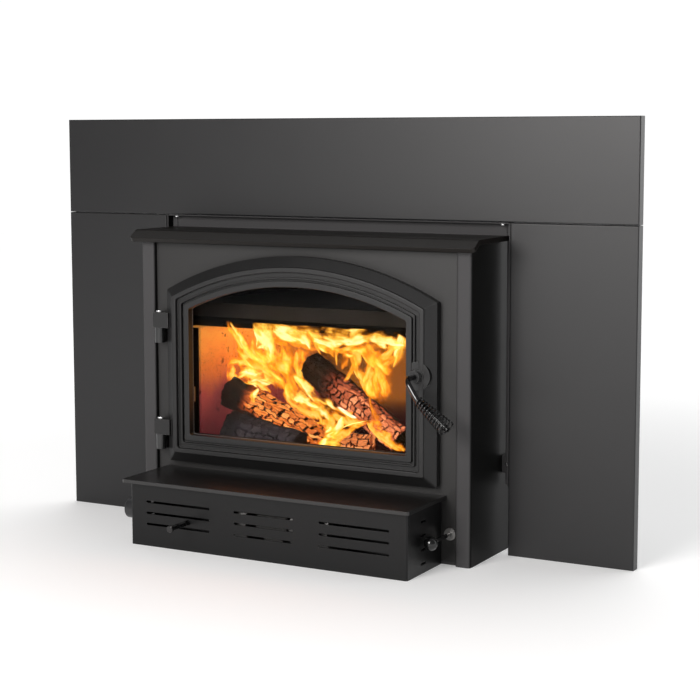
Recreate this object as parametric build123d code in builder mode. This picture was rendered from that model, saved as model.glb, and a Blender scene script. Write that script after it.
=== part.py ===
from build123d import *
import os
from math import atan2, cos, pi, radians, sin, sqrt, tan

# Wood-burning fireplace insert: a steel firebox in a tapered convection casing, a cast door with an
# arched window, an ash shelf over a blower box, and a three-panel surround that covers the opening of
# the masonry fireplace. Millimetres. X points to the viewer's right, Y into the chimney, Z up. The origin
# is on the hearth, on the centre line, in the plane of the surround's back.

# Casing
casing_width = 640
casing_height = 523
casing_sheet = 3
casing_front_y = -128
casing_bend = 6
casing_back_y = 330
casing_back_width = casing_width - 160
casing_back_lip = 25
taper_start_y = 60
pillar_width = 28
pillar_proud = 8  # the pillars stand this far in front of the front plate
base_plate_thickness = 5
base_plate_fit = 0.05
casing_top_front_y = -122

# Surround
surround_width = 1118
surround_height = 729
surround_depth = 20
surround_sheet = 2
surround_bend = 1.8
surround_lip = 14  # folded edge behind each panel
surround_opening = casing_width + 40
surround_over_casing = 30.1  # from the casing's top sheet to the seam
panel_seam = 0.9
rail_width = 12  # angle rails that line the opening, behind
rail_depth = 17.5
rail_sheet = 2
rail_gap = 0.8  # between the rails, the panels and each other
rail_step = 0.5  # the rails' backs lie this far in front of the panels' backs
rail_over_casing = 0.3
side_rail_bottom = 117
top_screw_y = -10
bracket_sheet = 2.5
bracket_width = 30
bracket_leg = 24
bracket_fit = 0.05  # between the brackets and the rails

# Top plate
top_plate_width = casing_width + 24
top_plate_thickness = 8
top_plate_back_y = -3
visor_crease_y = -126
visor_reach = 22
visor_drop = 13.5
visor_bend = 12
visor_corner = 7

# Front plate
front_plate_thickness = 6
front_plate_top = casing_height - 11
front_plate_side_gap = 0.5

# Firebox
convection_gap = 40
firebox_steel = 5
firebox_floor_z = 90
firebox_floor_thickness = 6
firebox_top_z = casing_height - 39
firebox_top_thickness = 6
firebox_back_y = 290
skid_x = casing_width * 0.32
skid_length = 340
skid_hole_radius = 26

# Lining
brick_thickness = 32
brick_height = 229
brick_joint = 1
brick_front_y = -62
floor_brick_front_y = -88
floor_brick_columns = 4
retainer_sheet = 3
retainer_width = 28
log_stop_top = 172
baffle_thickness = 25
baffle_front_y = -45
air_tube_radius = 9.5
air_tube_wall = 1.5
air_tube_z = 367
air_tube_pitch = 85
air_tube_count = 3
air_tube_first_y = -34
air_hole_radius = 2.2
air_hole_count = 7
wash_sheet = 3
wash_bottom = firebox_top_z - 44
wash_y = -98

# Flue
flue_radius = 76.5
flue_wall = 3
flue_y = 170
flue_top = casing_height + 49
flue_flange = 18
flue_clearance = 4

# Door
door_gap = 0.5  # between the door's back and the front plate
door_width = casing_width - 150  # over the moulding's outer ridge
door_bottom = 144.5
door_apex = casing_height - 43
door_spring = door_apex - 59  # height where the arch meets the sides
door_bevel_width = 17
door_edge_depth = 13
door_bevel_top = 24.5  # depth of the bevel's upper edge, from the door's back
door_depth = 27.5
door_corner = 4
ridge_width = 9.5
ridge_round = 2.2
cove_depth = 20.5
cove_width = 7.5
bead_width = 3
bead_depth = 25.5
bead_round = 1.1
groove_width = 3.5
groove_depth = 18.5
band_depth = 24
window_inset = 34
plate_opening_inset = 5
glass_thickness = 5
glass_ledge = 7.5
glass_fit = 1.2
gasket_thickness = 2.5
clip_recess_inset = 12
clip_recess_depth = 4
clip_length = 26
clip_width = 19
clip_thickness = 2
clip_middle_inset = 23
clip_side_height = 80
clip_arch_angle = 13
clip_screw_shift = 4.5
rope_inset = -6
rope_width = 9.6
rope_channel_width = 10
rope_channel_depth = 8

# Hinges
pin_x = -door_width / 2 - 31
pin_y = -137
pin_radius = 4
pin_head_radius = 6
pin_head_height = 3
running_clearance = 0.05
lug_reach = 9
lug_inner_x = -door_width / 2 - 8
lug_depth = 18
lug_height = 27
barrel_radius = 9
barrel_height = 26.5
hinge_gap = 0.3
upper_lug_z = door_spring - 57
lower_lug_z = door_bottom + 30

# Handle
handle_x = door_width / 2 - 13
handle_z = door_bottom + 167
handle_radius = 4.75
handle_pad_radius = 23.5
handle_pad_depth = 26.5
handle_boss_radius = 12.5
handle_boss_depth = 29
collar_radius = 10
collar_thickness = 2.6
collar_count = 3
handle_bend_y = -187
handle_bend_radius = 15
neck_end = (handle_x + 22.5, -192, handle_z - 30)
grip_end = (handle_x + 84, -206, handle_z - 72)
grip_wire_radius = 1.5
grip_turns = 11
grip_end_radius = 13.2
grip_fit = 0.3
grip_lead = 3  # bare rod between the neck and the coil
collar_gap = 0.2
collar_step = 1.6
catch_length = 50
catch_width = 24
cam_thickness = 6
cam_length = 27
cam_width = 13
cam_rest_angle = -12  # the cam points this far to the left of straight up, just clear of its catch
cam_y = -111
catch_thickness = 2.4

# Ash shelf and blower box
shelf_top = 115
shelf_thickness = 6
shelf_overhang = 8.5
shelf_front_overhang = 14.5
shelf_corner = 5
box_width = casing_width - 110
box_front_y = -246
box_sheet = 2
box_bend = 3.5
box_return = 9
box_seam = 0.6
louvre_height = 4
louvre_rows = 3
louvre_pitch = 19.3
louvre_middle_z = 57.8
louvre_group_pitch = box_width * 0.319
louvre_side_length = box_width * 0.2415
louvre_middle_length = box_width * 0.215
side_slot_length = 18
side_slot_pitch = 23
side_slot_rows = 4
side_slot_bottom = 16
side_slot_y = -188

# Blower
fan_y = -190
fan_z = 54
fan_radius = 36
fan_length = 60
fan_centre_x = 78
fan_blades = 18
fan_blade_depth = 8
fan_blade_thickness = 1
fan_blade_angle = 30
fan_disc_thickness = 2
fan_hub_radius = 9
scroll_radius = 44
scroll_length = 72
scroll_sheet = 1.5
scroll_eye_radius = 27
scroll_outlet_bottom = 48
scroll_outlet_top = 86
scroll_foot_length = 30
scroll_foot_lap = 2
fan_shaft_radius = 4
motor_radius = 32
motor_length = 60
motor_edge = 3
motor_vent_circle = 20
motor_vents = 6
motor_vent_radius = 2
motor_cradle_lap = 9
cradle_wall = 2
motor_bracket_length = 36
motor_bracket_width = 44
heat_switch_x = box_width * 0.302
heat_switch_z = 94
heat_switch_radius = 11
heat_switch_height = 8

# Controls
front_rod_x = -box_width * 0.28
front_rod_z = 49.5
front_rod_radius = 4.3
front_rod_tip_y = -301
front_rod_disc_radius = 5.8
front_rod_disc_thickness = 5
side_rod_x = box_width / 2 + 16
side_rod_z = 51.5
side_rod_radius = 3.5
side_rod_knob_y = -193
side_rod_knob_radius = 11.5
guide_wall = 3.5
guide_flange = 3
guide_length = 9
air_slide_length = 48
air_slide_travel = 35  # how far the rods push in to close their ports
air_slide_thickness = 2.5
air_slide_front_y = -92
air_slide_half = 20
air_slide_sink = 1
air_box_back_y = 6
air_box_sheet = 2
air_port_length = 34
slide_clearance = 0.3
speed_knob_y = -226
speed_knob_z = 58
speed_knob_radius = 18
speed_knob_length = 17
speed_shaft_radius = 3
speed_control_size = 26
speed_control_depth = 20
cord_bush_y = -140
cord_bush_z = 22
cord_bush_radius = 7
cord_bush_bore = 4
cord_bush_rim = 1.5

# Fasteners
screw_shank_radius = 2.5
screw_head_radius = 4.5
screw_head_height = 2.6
screw_clearance = 0.25
screw_length = 9

# Burnt logs: start and end as (share of the hearth's half width, depth, height above the hearth), radii
# around the section, turn
log_list = (
    ((-0.942, 10, 108), (-0.083, 20, 23.5), (32, 29, 33, 28, 31, 30, 34), 0.2),
    ((-0.558, 150, 142), (0.35, 100, 24.8), (28, 31, 27, 30, 29, 26, 30), 0.7),
    ((-0.175, 62, 27.8), (-0.175, 226, 27.8), (29, 28, 30, 28, 30, 29, 28), 0.3),
    ((-0.833, -43, 24.3), (-0.192, -43, 23.3), (25, 24, 26, 24, 25, 26, 24), 0.4),
    ((-0.846, 14, 0.3), (-0.846, 14, 53), (20, 22, 19, 21, 20, 22, 21), 0.2),
    ((0.083, -6, 26.3), (0.3, 6, 26.3), (27, 24, 26, 28, 25, 27, 24), 0.5),
)

# Worked-out planes
front_plate_y = casing_front_y + pillar_proud
front_plate_back_y = front_plate_y + front_plate_thickness
door_back_y = front_plate_y - door_gap
casing_top_z = casing_height + casing_sheet
top_plate_top = casing_top_z + top_plate_thickness
firebox_inset = casing_sheet + convection_gap
lining_inset = firebox_inset + firebox_steel
floor_brick_z = firebox_floor_z + firebox_floor_thickness
hearth_z = floor_brick_z + brick_thickness
box_top = shelf_top - shelf_thickness
side_panel_height = casing_top_z + surround_over_casing
taper = atan2((casing_width - casing_back_width) / 2, casing_back_y - taper_start_y)
arch_rise = door_apex - door_spring
arch_radius = ((door_width / 2) ** 2 + arch_rise**2) / (2 * arch_rise)
arch_centre_z = door_apex - arch_radius

pieces = {}


# ---- helpers ----


def wall_knee(inset):
    # plan position of the corner where a wall, set in from the casing, turns in towards the back
    return casing_width / 2 - inset, taper_start_y - inset * tan(taper / 2)


def tapered_x(inset, y):
    # half width of that wall at a depth y behind its corner
    return casing_width / 2 - inset / cos(taper) - (y - taper_start_y) * tan(taper)


def plan_points(inset, front_y, back_y):
    # the casing's plan, set in by a distance, between two depths
    right = [(casing_width / 2 - inset, front_y), wall_knee(inset), (tapered_x(inset, back_y), back_y)]
    left = [(-x, y) for x, y in reversed(right)]
    return right + left


def plan_sheet(z, thickness, inset, front_y, back_y):
    # a flat plate with the casing's plan
    with BuildSketch(Plane.XY.offset(z)) as plan:
        with BuildLine():
            Polyline(*plan_points(inset, front_y, back_y), close=True)
        make_face()
    extrude(plan.sketch, amount=thickness)


def arched_face(inset, corner=door_corner):
    # the door's outline, set in from the ridge by a distance, on a sketch in the XZ plane
    half = door_width / 2 - inset
    bottom = door_bottom + inset
    radius = arch_radius - inset
    spring = arch_centre_z + sqrt(radius**2 - half**2)
    with BuildSketch(mode=Mode.PRIVATE) as face:
        with BuildLine():
            Polyline((-half, spring), (-half, bottom), (half, bottom), (half, spring))
            ThreePointArc((half, spring), (0, arch_centre_z + radius), (-half, spring))
        make_face()
        fillet(face.vertices(), corner)
    return face.sketch


def front_plane(y):
    # a plane that faces the viewer, at depth y
    return Plane.XZ.offset(-y)


def arched_ring(outer_inset, inner_inset, back_y, depth):
    # a ring between two arched outlines, from back_y towards the viewer
    with BuildSketch(front_plane(back_y)) as ring:
        add(arched_face(outer_inset))
        add(arched_face(inner_inset), mode=Mode.SUBTRACT)
    extrude(ring.sketch, amount=depth)


def edges_at(part, y):
    # the edges that lie in the plane at depth y
    return part.edges().filter_by_position(Axis.Y, y - 0.01, y + 0.01)


def mirrored(piece):
    # the same piece on the other side of the insert
    with BuildPart() as other:
        add(piece.part)
        mirror(about=Plane.YZ, mode=Mode.REPLACE)
    return other


def box_between(low, high, mode=Mode.ADD):
    # a block between two corners
    with Locations(tuple((a + b) / 2 for a, b in zip(low, high))):
        Box(*(b - a for a, b in zip(low, high)), mode=mode)


# ---- surround ----


def folded_panel(low_x, high_x, low_z, high_z):
    # a sheet panel with its four edges folded back and in
    width, height = high_x - low_x, high_z - low_z
    centre = ((low_x + high_x) / 2, (low_z + high_z) / 2)
    for reduction, y, depth, mode in (
        (0, 0, surround_depth, Mode.ADD),
        (surround_sheet, -surround_sheet, surround_depth - 2 * surround_sheet, Mode.SUBTRACT),
        (surround_lip, 0, surround_sheet, Mode.SUBTRACT),
    ):
        with BuildSketch(front_plane(y)) as outline:
            with Locations(centre):
                Rectangle(width - 2 * reduction, height - 2 * reduction)
        extrude(outline.sketch, amount=depth, mode=mode)


half_opening = surround_opening / 2
half_surround = surround_width / 2
top_panel_z = side_panel_height + panel_seam
rail_edge = half_opening - rail_gap
rail_front_y = -rail_step - rail_depth
rail_face_y = -rail_step - rail_sheet
top_rail_z = top_panel_z - rail_gap
top_rail_half = rail_edge - rail_sheet - rail_gap
top_screw_x = rail_edge - rail_width - screw_head_radius
side_screw_x = rail_edge - rail_sheet - screw_head_radius - 2 * screw_clearance
side_screw_z = 151
seam_bolt_xs = (half_opening + 25, half_surround - 30)
seam_bolt_y = -surround_depth / 2
seam_bolt_places = [(side * x, seam_bolt_y) for x in seam_bolt_xs for side in (-1, 1)]
screw_hole_radius = screw_shank_radius + screw_clearance
top_screw_places = [(side * top_screw_x, top_screw_y) for side in (-1, 1)]
rail_back_y = -rail_step
bracket_front_y = rail_back_y + bracket_fit
bracket_back_y = bracket_front_y + bracket_sheet

with BuildPart() as top_panel:
    folded_panel(-half_surround, half_surround, top_panel_z, surround_height)
    fillet(edges_at(top_panel.part, -surround_depth), surround_bend)
    with BuildSketch(Plane.XY.offset(top_panel_z)):
        with Locations(*seam_bolt_places, *top_screw_places):
            Circle(screw_hole_radius)
    extrude(amount=surround_sheet, mode=Mode.SUBTRACT)
pieces["surround_top_panel"] = top_panel

with BuildPart() as right_panel:
    folded_panel(half_opening, half_surround, 0, side_panel_height)
    fillet(edges_at(right_panel.part, -surround_depth), surround_bend)
    with BuildSketch(Plane.XY.offset(side_panel_height)):
        with Locations(*[(x, seam_bolt_y) for x in seam_bolt_xs]):
            Circle(screw_hole_radius)
    extrude(amount=-surround_sheet, mode=Mode.SUBTRACT)
pieces["surround_right_panel"] = right_panel
pieces["surround_left_panel"] = mirrored(right_panel)

with BuildPart() as seam_bolts:
    nut_z = side_panel_height - surround_sheet - screw_head_height
    head_z = top_panel_z + surround_sheet
    with BuildSketch(Plane.XY.offset(nut_z)):
        with Locations(*seam_bolt_places):
            Circle(screw_shank_radius)
    extrude(amount=head_z + screw_head_height - nut_z)
    for hex_z in (nut_z, head_z):
        with BuildSketch(Plane.XY.offset(hex_z)):
            with Locations(*seam_bolt_places):
                RegularPolygon(screw_head_radius, 6)
        extrude(amount=screw_head_height)
pieces["surround_bolts"] = seam_bolts

with BuildPart() as brackets:
    top_bracket_x = casing_width / 2 - bracket_width / 2
    side_bracket_z = side_screw_z - bracket_width / 2
    side_bracket_top = side_bracket_z + bracket_width
    bracket_edge = side_screw_x + screw_head_radius
    half = casing_width / 2
    box_between((top_bracket_x, bracket_front_y, casing_top_z), (bracket_edge, bracket_back_y, top_rail_z))
    box_between(
        (top_bracket_x, bracket_front_y, casing_top_z),
        (half, bracket_leg, casing_top_z + bracket_sheet),
    )
    box_between((half, bracket_front_y, side_bracket_z), (bracket_edge, bracket_back_y, side_bracket_top))
    box_between(
        (half, bracket_front_y, side_bracket_z),
        (half + bracket_sheet, bracket_leg, side_bracket_top),
    )
    with BuildSketch(front_plane(bracket_back_y)):
        with Locations((side_screw_x, side_screw_z)):
            Circle(screw_hole_radius)
    extrude(amount=bracket_sheet, mode=Mode.SUBTRACT)
    mirror(about=Plane.YZ)

with BuildPart() as side_rails:
    # upright angles beside the casing: one leg along the panel's edge, one across the gap behind it
    leg_top_z = top_rail_z - rail_sheet - rail_gap
    box_between(
        (rail_edge - rail_sheet, rail_front_y, side_rail_bottom),
        (rail_edge, rail_back_y, top_rail_z),
    )
    box_between((rail_edge - rail_width, rail_face_y, side_rail_bottom), (rail_edge, rail_back_y, leg_top_z))
    with BuildSketch(Plane.XZ):
        with Locations((side_screw_x, side_screw_z)):
            Circle(screw_hole_radius)
    extrude(amount=-rail_face_y, mode=Mode.SUBTRACT)
    mirror(about=Plane.YZ)

with BuildPart() as top_rail:
    # the angle under the top panel: its upright leg closes the gap down to the casing
    leg_half = rail_edge - rail_width - rail_gap
    leg_bottom_z = casing_top_z + rail_over_casing
    box_between(
        (-top_rail_half, rail_front_y, top_rail_z - rail_sheet),
        (top_rail_half, rail_back_y, top_rail_z),
    )
    box_between((-leg_half, rail_face_y, leg_bottom_z), (leg_half, rail_back_y, top_rail_z))
    with BuildSketch(Plane.XY.offset(top_rail_z)):
        with Locations(*top_screw_places):
            Circle(screw_hole_radius)
    extrude(amount=-rail_sheet, mode=Mode.SUBTRACT)

with BuildPart() as brackets_and_rails:
    add(brackets.part)
    add(side_rails.part)
    add(top_rail.part)
pieces["surround_brackets"] = brackets_and_rails

with BuildPart() as screws:
    # two hold the side rails to their brackets, two hold the top rail up to the top panel
    side_screw_places = [(side * side_screw_x, side_screw_z) for side in (-1, 1)]
    head_top_z = top_rail_z - rail_sheet
    with BuildSketch(front_plane(rail_face_y)):
        with Locations(*side_screw_places):
            Circle(screw_head_radius)
    extrude(amount=screw_head_height)
    fillet(edges_at(screws.part, rail_face_y - screw_head_height), screw_head_height * 0.6)
    with BuildSketch(front_plane(rail_face_y)):
        with Locations(*side_screw_places):
            Circle(screw_shank_radius)
    extrude(amount=-screw_length)
    with BuildSketch(Plane.XY.offset(head_top_z)):
        with Locations(*top_screw_places):
            Circle(screw_head_radius)
    extrude(amount=-screw_head_height)
    with BuildSketch(Plane.XY.offset(head_top_z)):
        with Locations(*top_screw_places):
            Circle(screw_shank_radius)
    extrude(amount=screw_length)
pieces["surround_screws"] = screws


# ---- casing ----

with BuildPart() as casing_right:
    half = casing_width / 2
    with BuildSketch():
        with BuildLine():
            FilletPolyline(
                (half - pillar_width, front_plate_y),
                (half - pillar_width, casing_front_y),
                (half, casing_front_y),
                (half, taper_start_y),
                (casing_back_width / 2, casing_back_y),
                (casing_back_width / 2 - casing_back_lip, casing_back_y),
                radius=casing_bend,
            )
            offset(amount=casing_sheet, side=Side.LEFT)
        make_face()
    extrude(amount=casing_height)
pieces["casing_right_side"] = casing_right
pieces["casing_left_side"] = mirrored(casing_right)

with BuildPart() as casing_back:
    with BuildSketch(Plane.XZ.offset(-casing_back_y)):
        with Locations((0, casing_height / 2)):
            Rectangle(casing_back_width - 2 * casing_bend, casing_height)
    extrude(amount=-casing_sheet)
pieces["casing_back"] = casing_back

with BuildPart() as casing_top:
    plan_sheet(casing_height, casing_sheet, 0, casing_top_front_y, casing_back_y + casing_sheet)
    with BuildSketch(Plane.XY.offset(casing_height)):
        with Locations((0, flue_y)):
            Circle(flue_radius + flue_wall + flue_clearance)
    extrude(amount=casing_sheet, mode=Mode.SUBTRACT)
pieces["casing_top"] = casing_top

with BuildPart() as base_plate:
    base_back_y = casing_back_y - casing_sheet - casing_bend
    plan_sheet(0, base_plate_thickness, casing_sheet + base_plate_fit, front_plate_y, base_back_y)
pieces["base_plate"] = base_plate

with BuildPart() as top_plate:
    with BuildSketch(Plane.YZ):
        with BuildLine():
            FilletPolyline(
                (top_plate_back_y, top_plate_top),
                (visor_crease_y, top_plate_top),
                (visor_crease_y - visor_reach, top_plate_top - visor_drop),
                radius=visor_bend,
            )
            offset(amount=top_plate_thickness, side=Side.LEFT)
        make_face()
    extrude(amount=top_plate_width / 2, both=True)
    visor_tip = top_plate.faces().sort_by(Axis.Y)[0]
    fillet(visor_tip.edges().group_by(Axis.X)[0] + visor_tip.edges().group_by(Axis.X)[-1], visor_corner)
pieces["top_plate"] = top_plate

with BuildPart() as front_plate:
    half = casing_width / 2 - casing_sheet - front_plate_side_gap
    with BuildSketch(front_plane(front_plate_back_y)):
        with Locations((0, (base_plate_thickness + front_plate_top) / 2)):
            Rectangle(2 * half, front_plate_top - base_plate_thickness)
        add(arched_face(plate_opening_inset), mode=Mode.SUBTRACT)
        outlet_z = (scroll_outlet_bottom + scroll_outlet_top) / 2
        with Locations((-fan_centre_x, outlet_z), (fan_centre_x, outlet_z)):
            Rectangle(
                scroll_length - 2 * scroll_sheet,
                scroll_outlet_top - scroll_outlet_bottom - 2 * scroll_sheet,
                mode=Mode.SUBTRACT,
            )
        for x, z, radius in (
            (front_rod_x, front_rod_z, front_rod_radius),
            (side_rod_x, side_rod_z, side_rod_radius),
        ):
            with Locations((x, z)):
                Circle(radius + guide_wall, mode=Mode.SUBTRACT)
    extrude(amount=front_plate_thickness)
pieces["front_plate"] = front_plate


# ---- firebox ----

firebox_height = firebox_top_z - firebox_floor_z

with BuildPart() as firebox_right:
    with BuildSketch(Plane.XY.offset(firebox_floor_z)):
        with BuildLine():
            Polyline(
                (casing_width / 2 - firebox_inset, front_plate_back_y),
                wall_knee(firebox_inset),
                (tapered_x(firebox_inset, firebox_back_y), firebox_back_y),
                (tapered_x(lining_inset, firebox_back_y), firebox_back_y),
                wall_knee(lining_inset),
                (casing_width / 2 - lining_inset, front_plate_back_y),
                close=True,
            )
        make_face()
    extrude(amount=firebox_height)
pieces["firebox_right_side"] = firebox_right
pieces["firebox_left_side"] = mirrored(firebox_right)

with BuildPart() as firebox_back:
    with BuildSketch(Plane.XZ.offset(-firebox_back_y)):
        with Locations((0, firebox_floor_z + firebox_height / 2)):
            Rectangle(2 * tapered_x(firebox_inset, firebox_back_y), firebox_height)
    extrude(amount=-firebox_steel)
pieces["firebox_back"] = firebox_back

with BuildPart() as firebox_floor:
    plan_sheet(firebox_floor_z, firebox_floor_thickness, lining_inset, front_plate_back_y, firebox_back_y)
pieces["firebox_floor"] = firebox_floor

with BuildPart() as firebox_top:
    plan_sheet(
        firebox_top_z,
        firebox_top_thickness,
        firebox_inset,
        front_plate_back_y,
        firebox_back_y + firebox_steel,
    )
    with BuildSketch(Plane.XY.offset(firebox_top_z)):
        with Locations((0, flue_y)):
            Circle(flue_radius + flue_clearance)
    extrude(amount=firebox_top_thickness, mode=Mode.SUBTRACT)
pieces["firebox_top"] = firebox_top

with BuildPart() as skids:
    skid_middle_y = (front_plate_back_y + firebox_back_y) / 2
    skid_height = firebox_floor_z - base_plate_thickness
    with BuildSketch(Plane.YZ.offset(skid_x)):
        with Locations((skid_middle_y, base_plate_thickness + skid_height / 2)):
            Rectangle(skid_length, skid_height)
            with GridLocations(skid_length / 3, 0, 3, 1):
                Circle(skid_hole_radius, mode=Mode.SUBTRACT)
    extrude(amount=-firebox_steel)
    mirror(about=Plane.YZ)
pieces["firebox_skids"] = skids

with BuildPart() as flue_collar:
    firebox_roof = firebox_top_z + firebox_top_thickness
    outside = flue_radius + flue_wall
    with BuildSketch(front_plane(flue_y)):
        with BuildLine():
            Polyline(
                (flue_radius, firebox_roof),
                (outside + flue_flange, firebox_roof),
                (outside + flue_flange, firebox_roof + flue_wall),
                (outside, firebox_roof + flue_wall),
                (outside, flue_top),
                (flue_radius, flue_top),
                close=True,
            )
        make_face()
    revolve(axis=Axis((0, flue_y, 0), (0, 0, 1)))
pieces["flue_collar"] = flue_collar


# ---- lining ----

lining_half = casing_width / 2 - lining_inset
brick_inset = lining_inset + brick_thickness

with BuildPart() as floor_bricks:
    plan_sheet(
        floor_brick_z,
        brick_thickness,
        lining_inset + brick_joint,
        floor_brick_front_y,
        firebox_back_y - brick_joint,
    )
    column = 2 * lining_half / floor_brick_columns
    for index in range(1, floor_brick_columns):
        x = -lining_half + index * column
        box_between(
            (x - brick_joint / 2, floor_brick_front_y, floor_brick_z),
            (x + brick_joint / 2, firebox_back_y, hearth_z),
            mode=Mode.SUBTRACT,
        )
    joint_y = (floor_brick_front_y + firebox_back_y) / 2
    box_between(
        (-lining_half, joint_y - brick_joint / 2, floor_brick_z),
        (lining_half, joint_y + brick_joint / 2, hearth_z),
        mode=Mode.SUBTRACT,
    )
pieces["floor_bricks"] = floor_bricks

with BuildPart() as right_bricks:
    back_brick_front = firebox_back_y - brick_thickness - brick_joint
    with BuildSketch(Plane.XY.offset(hearth_z)):
        with BuildLine():
            Polyline(
                (casing_width / 2 - lining_inset - brick_joint, brick_front_y),
                wall_knee(lining_inset + brick_joint),
                (tapered_x(lining_inset + brick_joint, back_brick_front), back_brick_front),
                (tapered_x(brick_inset, back_brick_front), back_brick_front),
                wall_knee(brick_inset),
                (casing_width / 2 - brick_inset, brick_front_y),
                close=True,
            )
        make_face()
        knee_y = wall_knee(brick_inset)[1]
        for y in (knee_y, (knee_y + back_brick_front) / 2):
            with Locations((casing_width / 2 - brick_inset, y)):
                Rectangle(4 * brick_thickness, brick_joint, mode=Mode.SUBTRACT)
    extrude(amount=brick_height)
pieces["right_bricks"] = right_bricks
pieces["left_bricks"] = mirrored(right_bricks)

with BuildPart() as back_bricks:
    back_half = tapered_x(lining_inset + brick_joint, firebox_back_y - brick_joint)
    with BuildSketch(Plane.XY.offset(hearth_z)):
        with Locations((0, firebox_back_y - brick_thickness / 2 - brick_joint / 2)):
            Rectangle(2 * back_half, brick_thickness - brick_joint)
            with GridLocations(2 * back_half / 3, 0, 2, 1):
                Rectangle(brick_joint, brick_thickness, mode=Mode.SUBTRACT)
    extrude(amount=brick_height)
pieces["back_bricks"] = back_bricks

with BuildPart() as retainers:
    # upright angles that hold the front ends of the side bricks
    with BuildSketch(Plane.XY.offset(hearth_z)):
        with Locations((lining_half - retainer_width / 2, brick_front_y - retainer_sheet / 2)):
            Rectangle(retainer_width, retainer_sheet)
        with Locations((lining_half - retainer_sheet / 2, brick_front_y - retainer_width / 2)):
            Rectangle(retainer_sheet, retainer_width)
    extrude(amount=brick_height)
    mirror(about=Plane.YZ)
pieces["brick_retainers"] = retainers

with BuildPart() as log_stop:
    # angle across the front of the hearth that keeps logs off the glass
    stop_half = lining_half - retainer_sheet - brick_joint
    stop_back = floor_brick_front_y - brick_joint / 2
    with BuildSketch(Plane.YZ):
        with BuildLine():
            Polyline(
                (front_plate_back_y + brick_joint, floor_brick_z),
                (stop_back, floor_brick_z),
                (stop_back, log_stop_top),
                (stop_back - retainer_sheet, log_stop_top),
                (stop_back - retainer_sheet, floor_brick_z + retainer_sheet),
                (front_plate_back_y + brick_joint, floor_brick_z + retainer_sheet),
                close=True,
            )
        make_face()
    extrude(amount=stop_half, both=True)
pieces["log_stop"] = log_stop

with BuildPart() as air_tubes:
    tube_ys = [air_tube_first_y + index * air_tube_pitch for index in range(air_tube_count)]
    for y in tube_ys:
        tube_half = min(lining_half, tapered_x(lining_inset, y + air_tube_radius))
        with BuildSketch(Plane.YZ.offset(-tube_half)):
            with Locations((y, air_tube_z)):
                Circle(air_tube_radius)
                Circle(air_tube_radius - air_tube_wall, mode=Mode.SUBTRACT)
        extrude(amount=2 * tube_half)
    for y in tube_ys:
        with BuildSketch(front_plane(y)):
            with Locations((0, air_tube_z)):
                with GridLocations(2 * lining_half / (air_hole_count + 1), 0, air_hole_count, 1):
                    Circle(air_hole_radius)
        extrude(amount=air_tube_radius, mode=Mode.SUBTRACT)
pieces["air_tubes"] = air_tubes

with BuildPart() as baffle:
    baffle_z = air_tube_z + air_tube_radius
    plan_sheet(
        baffle_z,
        baffle_thickness,
        lining_inset + brick_joint,
        baffle_front_y,
        firebox_back_y - 2 * brick_joint,
    )
pieces["baffle_board"] = baffle

with BuildPart() as air_wash:
    # folded deflector that sends air down over the glass
    wash_half = lining_half - brick_joint
    with BuildSketch(Plane.YZ):
        with BuildLine():
            Polyline(
                (wash_y, wash_bottom),
                (wash_y, firebox_top_z),
                (wash_y + retainer_width, firebox_top_z),
            )
            offset(amount=wash_sheet, side=Side.RIGHT)
        make_face()
    extrude(amount=wash_half, both=True)
pieces["air_wash_deflector"] = air_wash


# ---- hinges ----

lug_zs = (lower_lug_z, upper_lug_z)

with BuildPart() as barrels:
    for z in lug_zs:
        with BuildSketch(Plane.XY.offset(z - hinge_gap - barrel_height)):
            with Locations((pin_x, pin_y)):
                Circle(barrel_radius)
            with Locations((pin_x, (pin_y + front_plate_y) / 2)):
                Rectangle(barrel_radius * 1.5, front_plate_y - pin_y)
            with Locations((pin_x, pin_y)):
                Circle(pin_radius, mode=Mode.SUBTRACT)
        extrude(amount=barrel_height)
pieces["hinge_barrels"] = barrels

with BuildPart() as pins:
    for z in lug_zs:
        foot = z - hinge_gap - barrel_height
        seat = z + lug_height + hinge_gap
        with BuildSketch(Plane.XY.offset(foot)):
            with Locations((pin_x, pin_y)):
                Circle(pin_radius)
        extrude(amount=seat - foot)
        with BuildSketch(Plane.XY.offset(seat)):
            with Locations((pin_x, pin_y)):
                Circle(pin_head_radius)
        extrude(amount=pin_head_height)
        fillet(pins.edges().filter_by_position(Axis.Z, seat + pin_head_height - 0.01, 9999), 1)
pieces["hinge_pins"] = pins


# ---- door ----

door_front_y = door_back_y - door_depth
bevel_top_y = door_back_y - door_bevel_top
cove_inset = ridge_width
bead_inset = cove_inset + cove_width
groove_inset = bead_inset + bead_width
band_inset = groove_inset + groove_width
ledge_y = door_back_y - clip_recess_depth
glass_back_y = ledge_y
glass_front_y = glass_back_y - glass_thickness
pocket_y = glass_front_y - gasket_thickness

def clip_locations():
    # two clips under the window, one at each side and two along the arch
    half = door_width / 2 - clip_middle_inset
    bottom = door_bottom + clip_middle_inset
    radius = arch_radius - clip_middle_inset
    places = [
        Location((-half / 2, bottom), 180),
        Location((half / 2, bottom), 180),
        Location((-half, bottom + clip_side_height), 90),
        Location((half, bottom + clip_side_height), -90),
    ]
    for angle in (-clip_arch_angle, clip_arch_angle):
        spot = (radius * sin(radians(angle)), arch_centre_z + radius * cos(radians(angle)))
        places.append(Location(spot, -angle))
    return places


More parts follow.
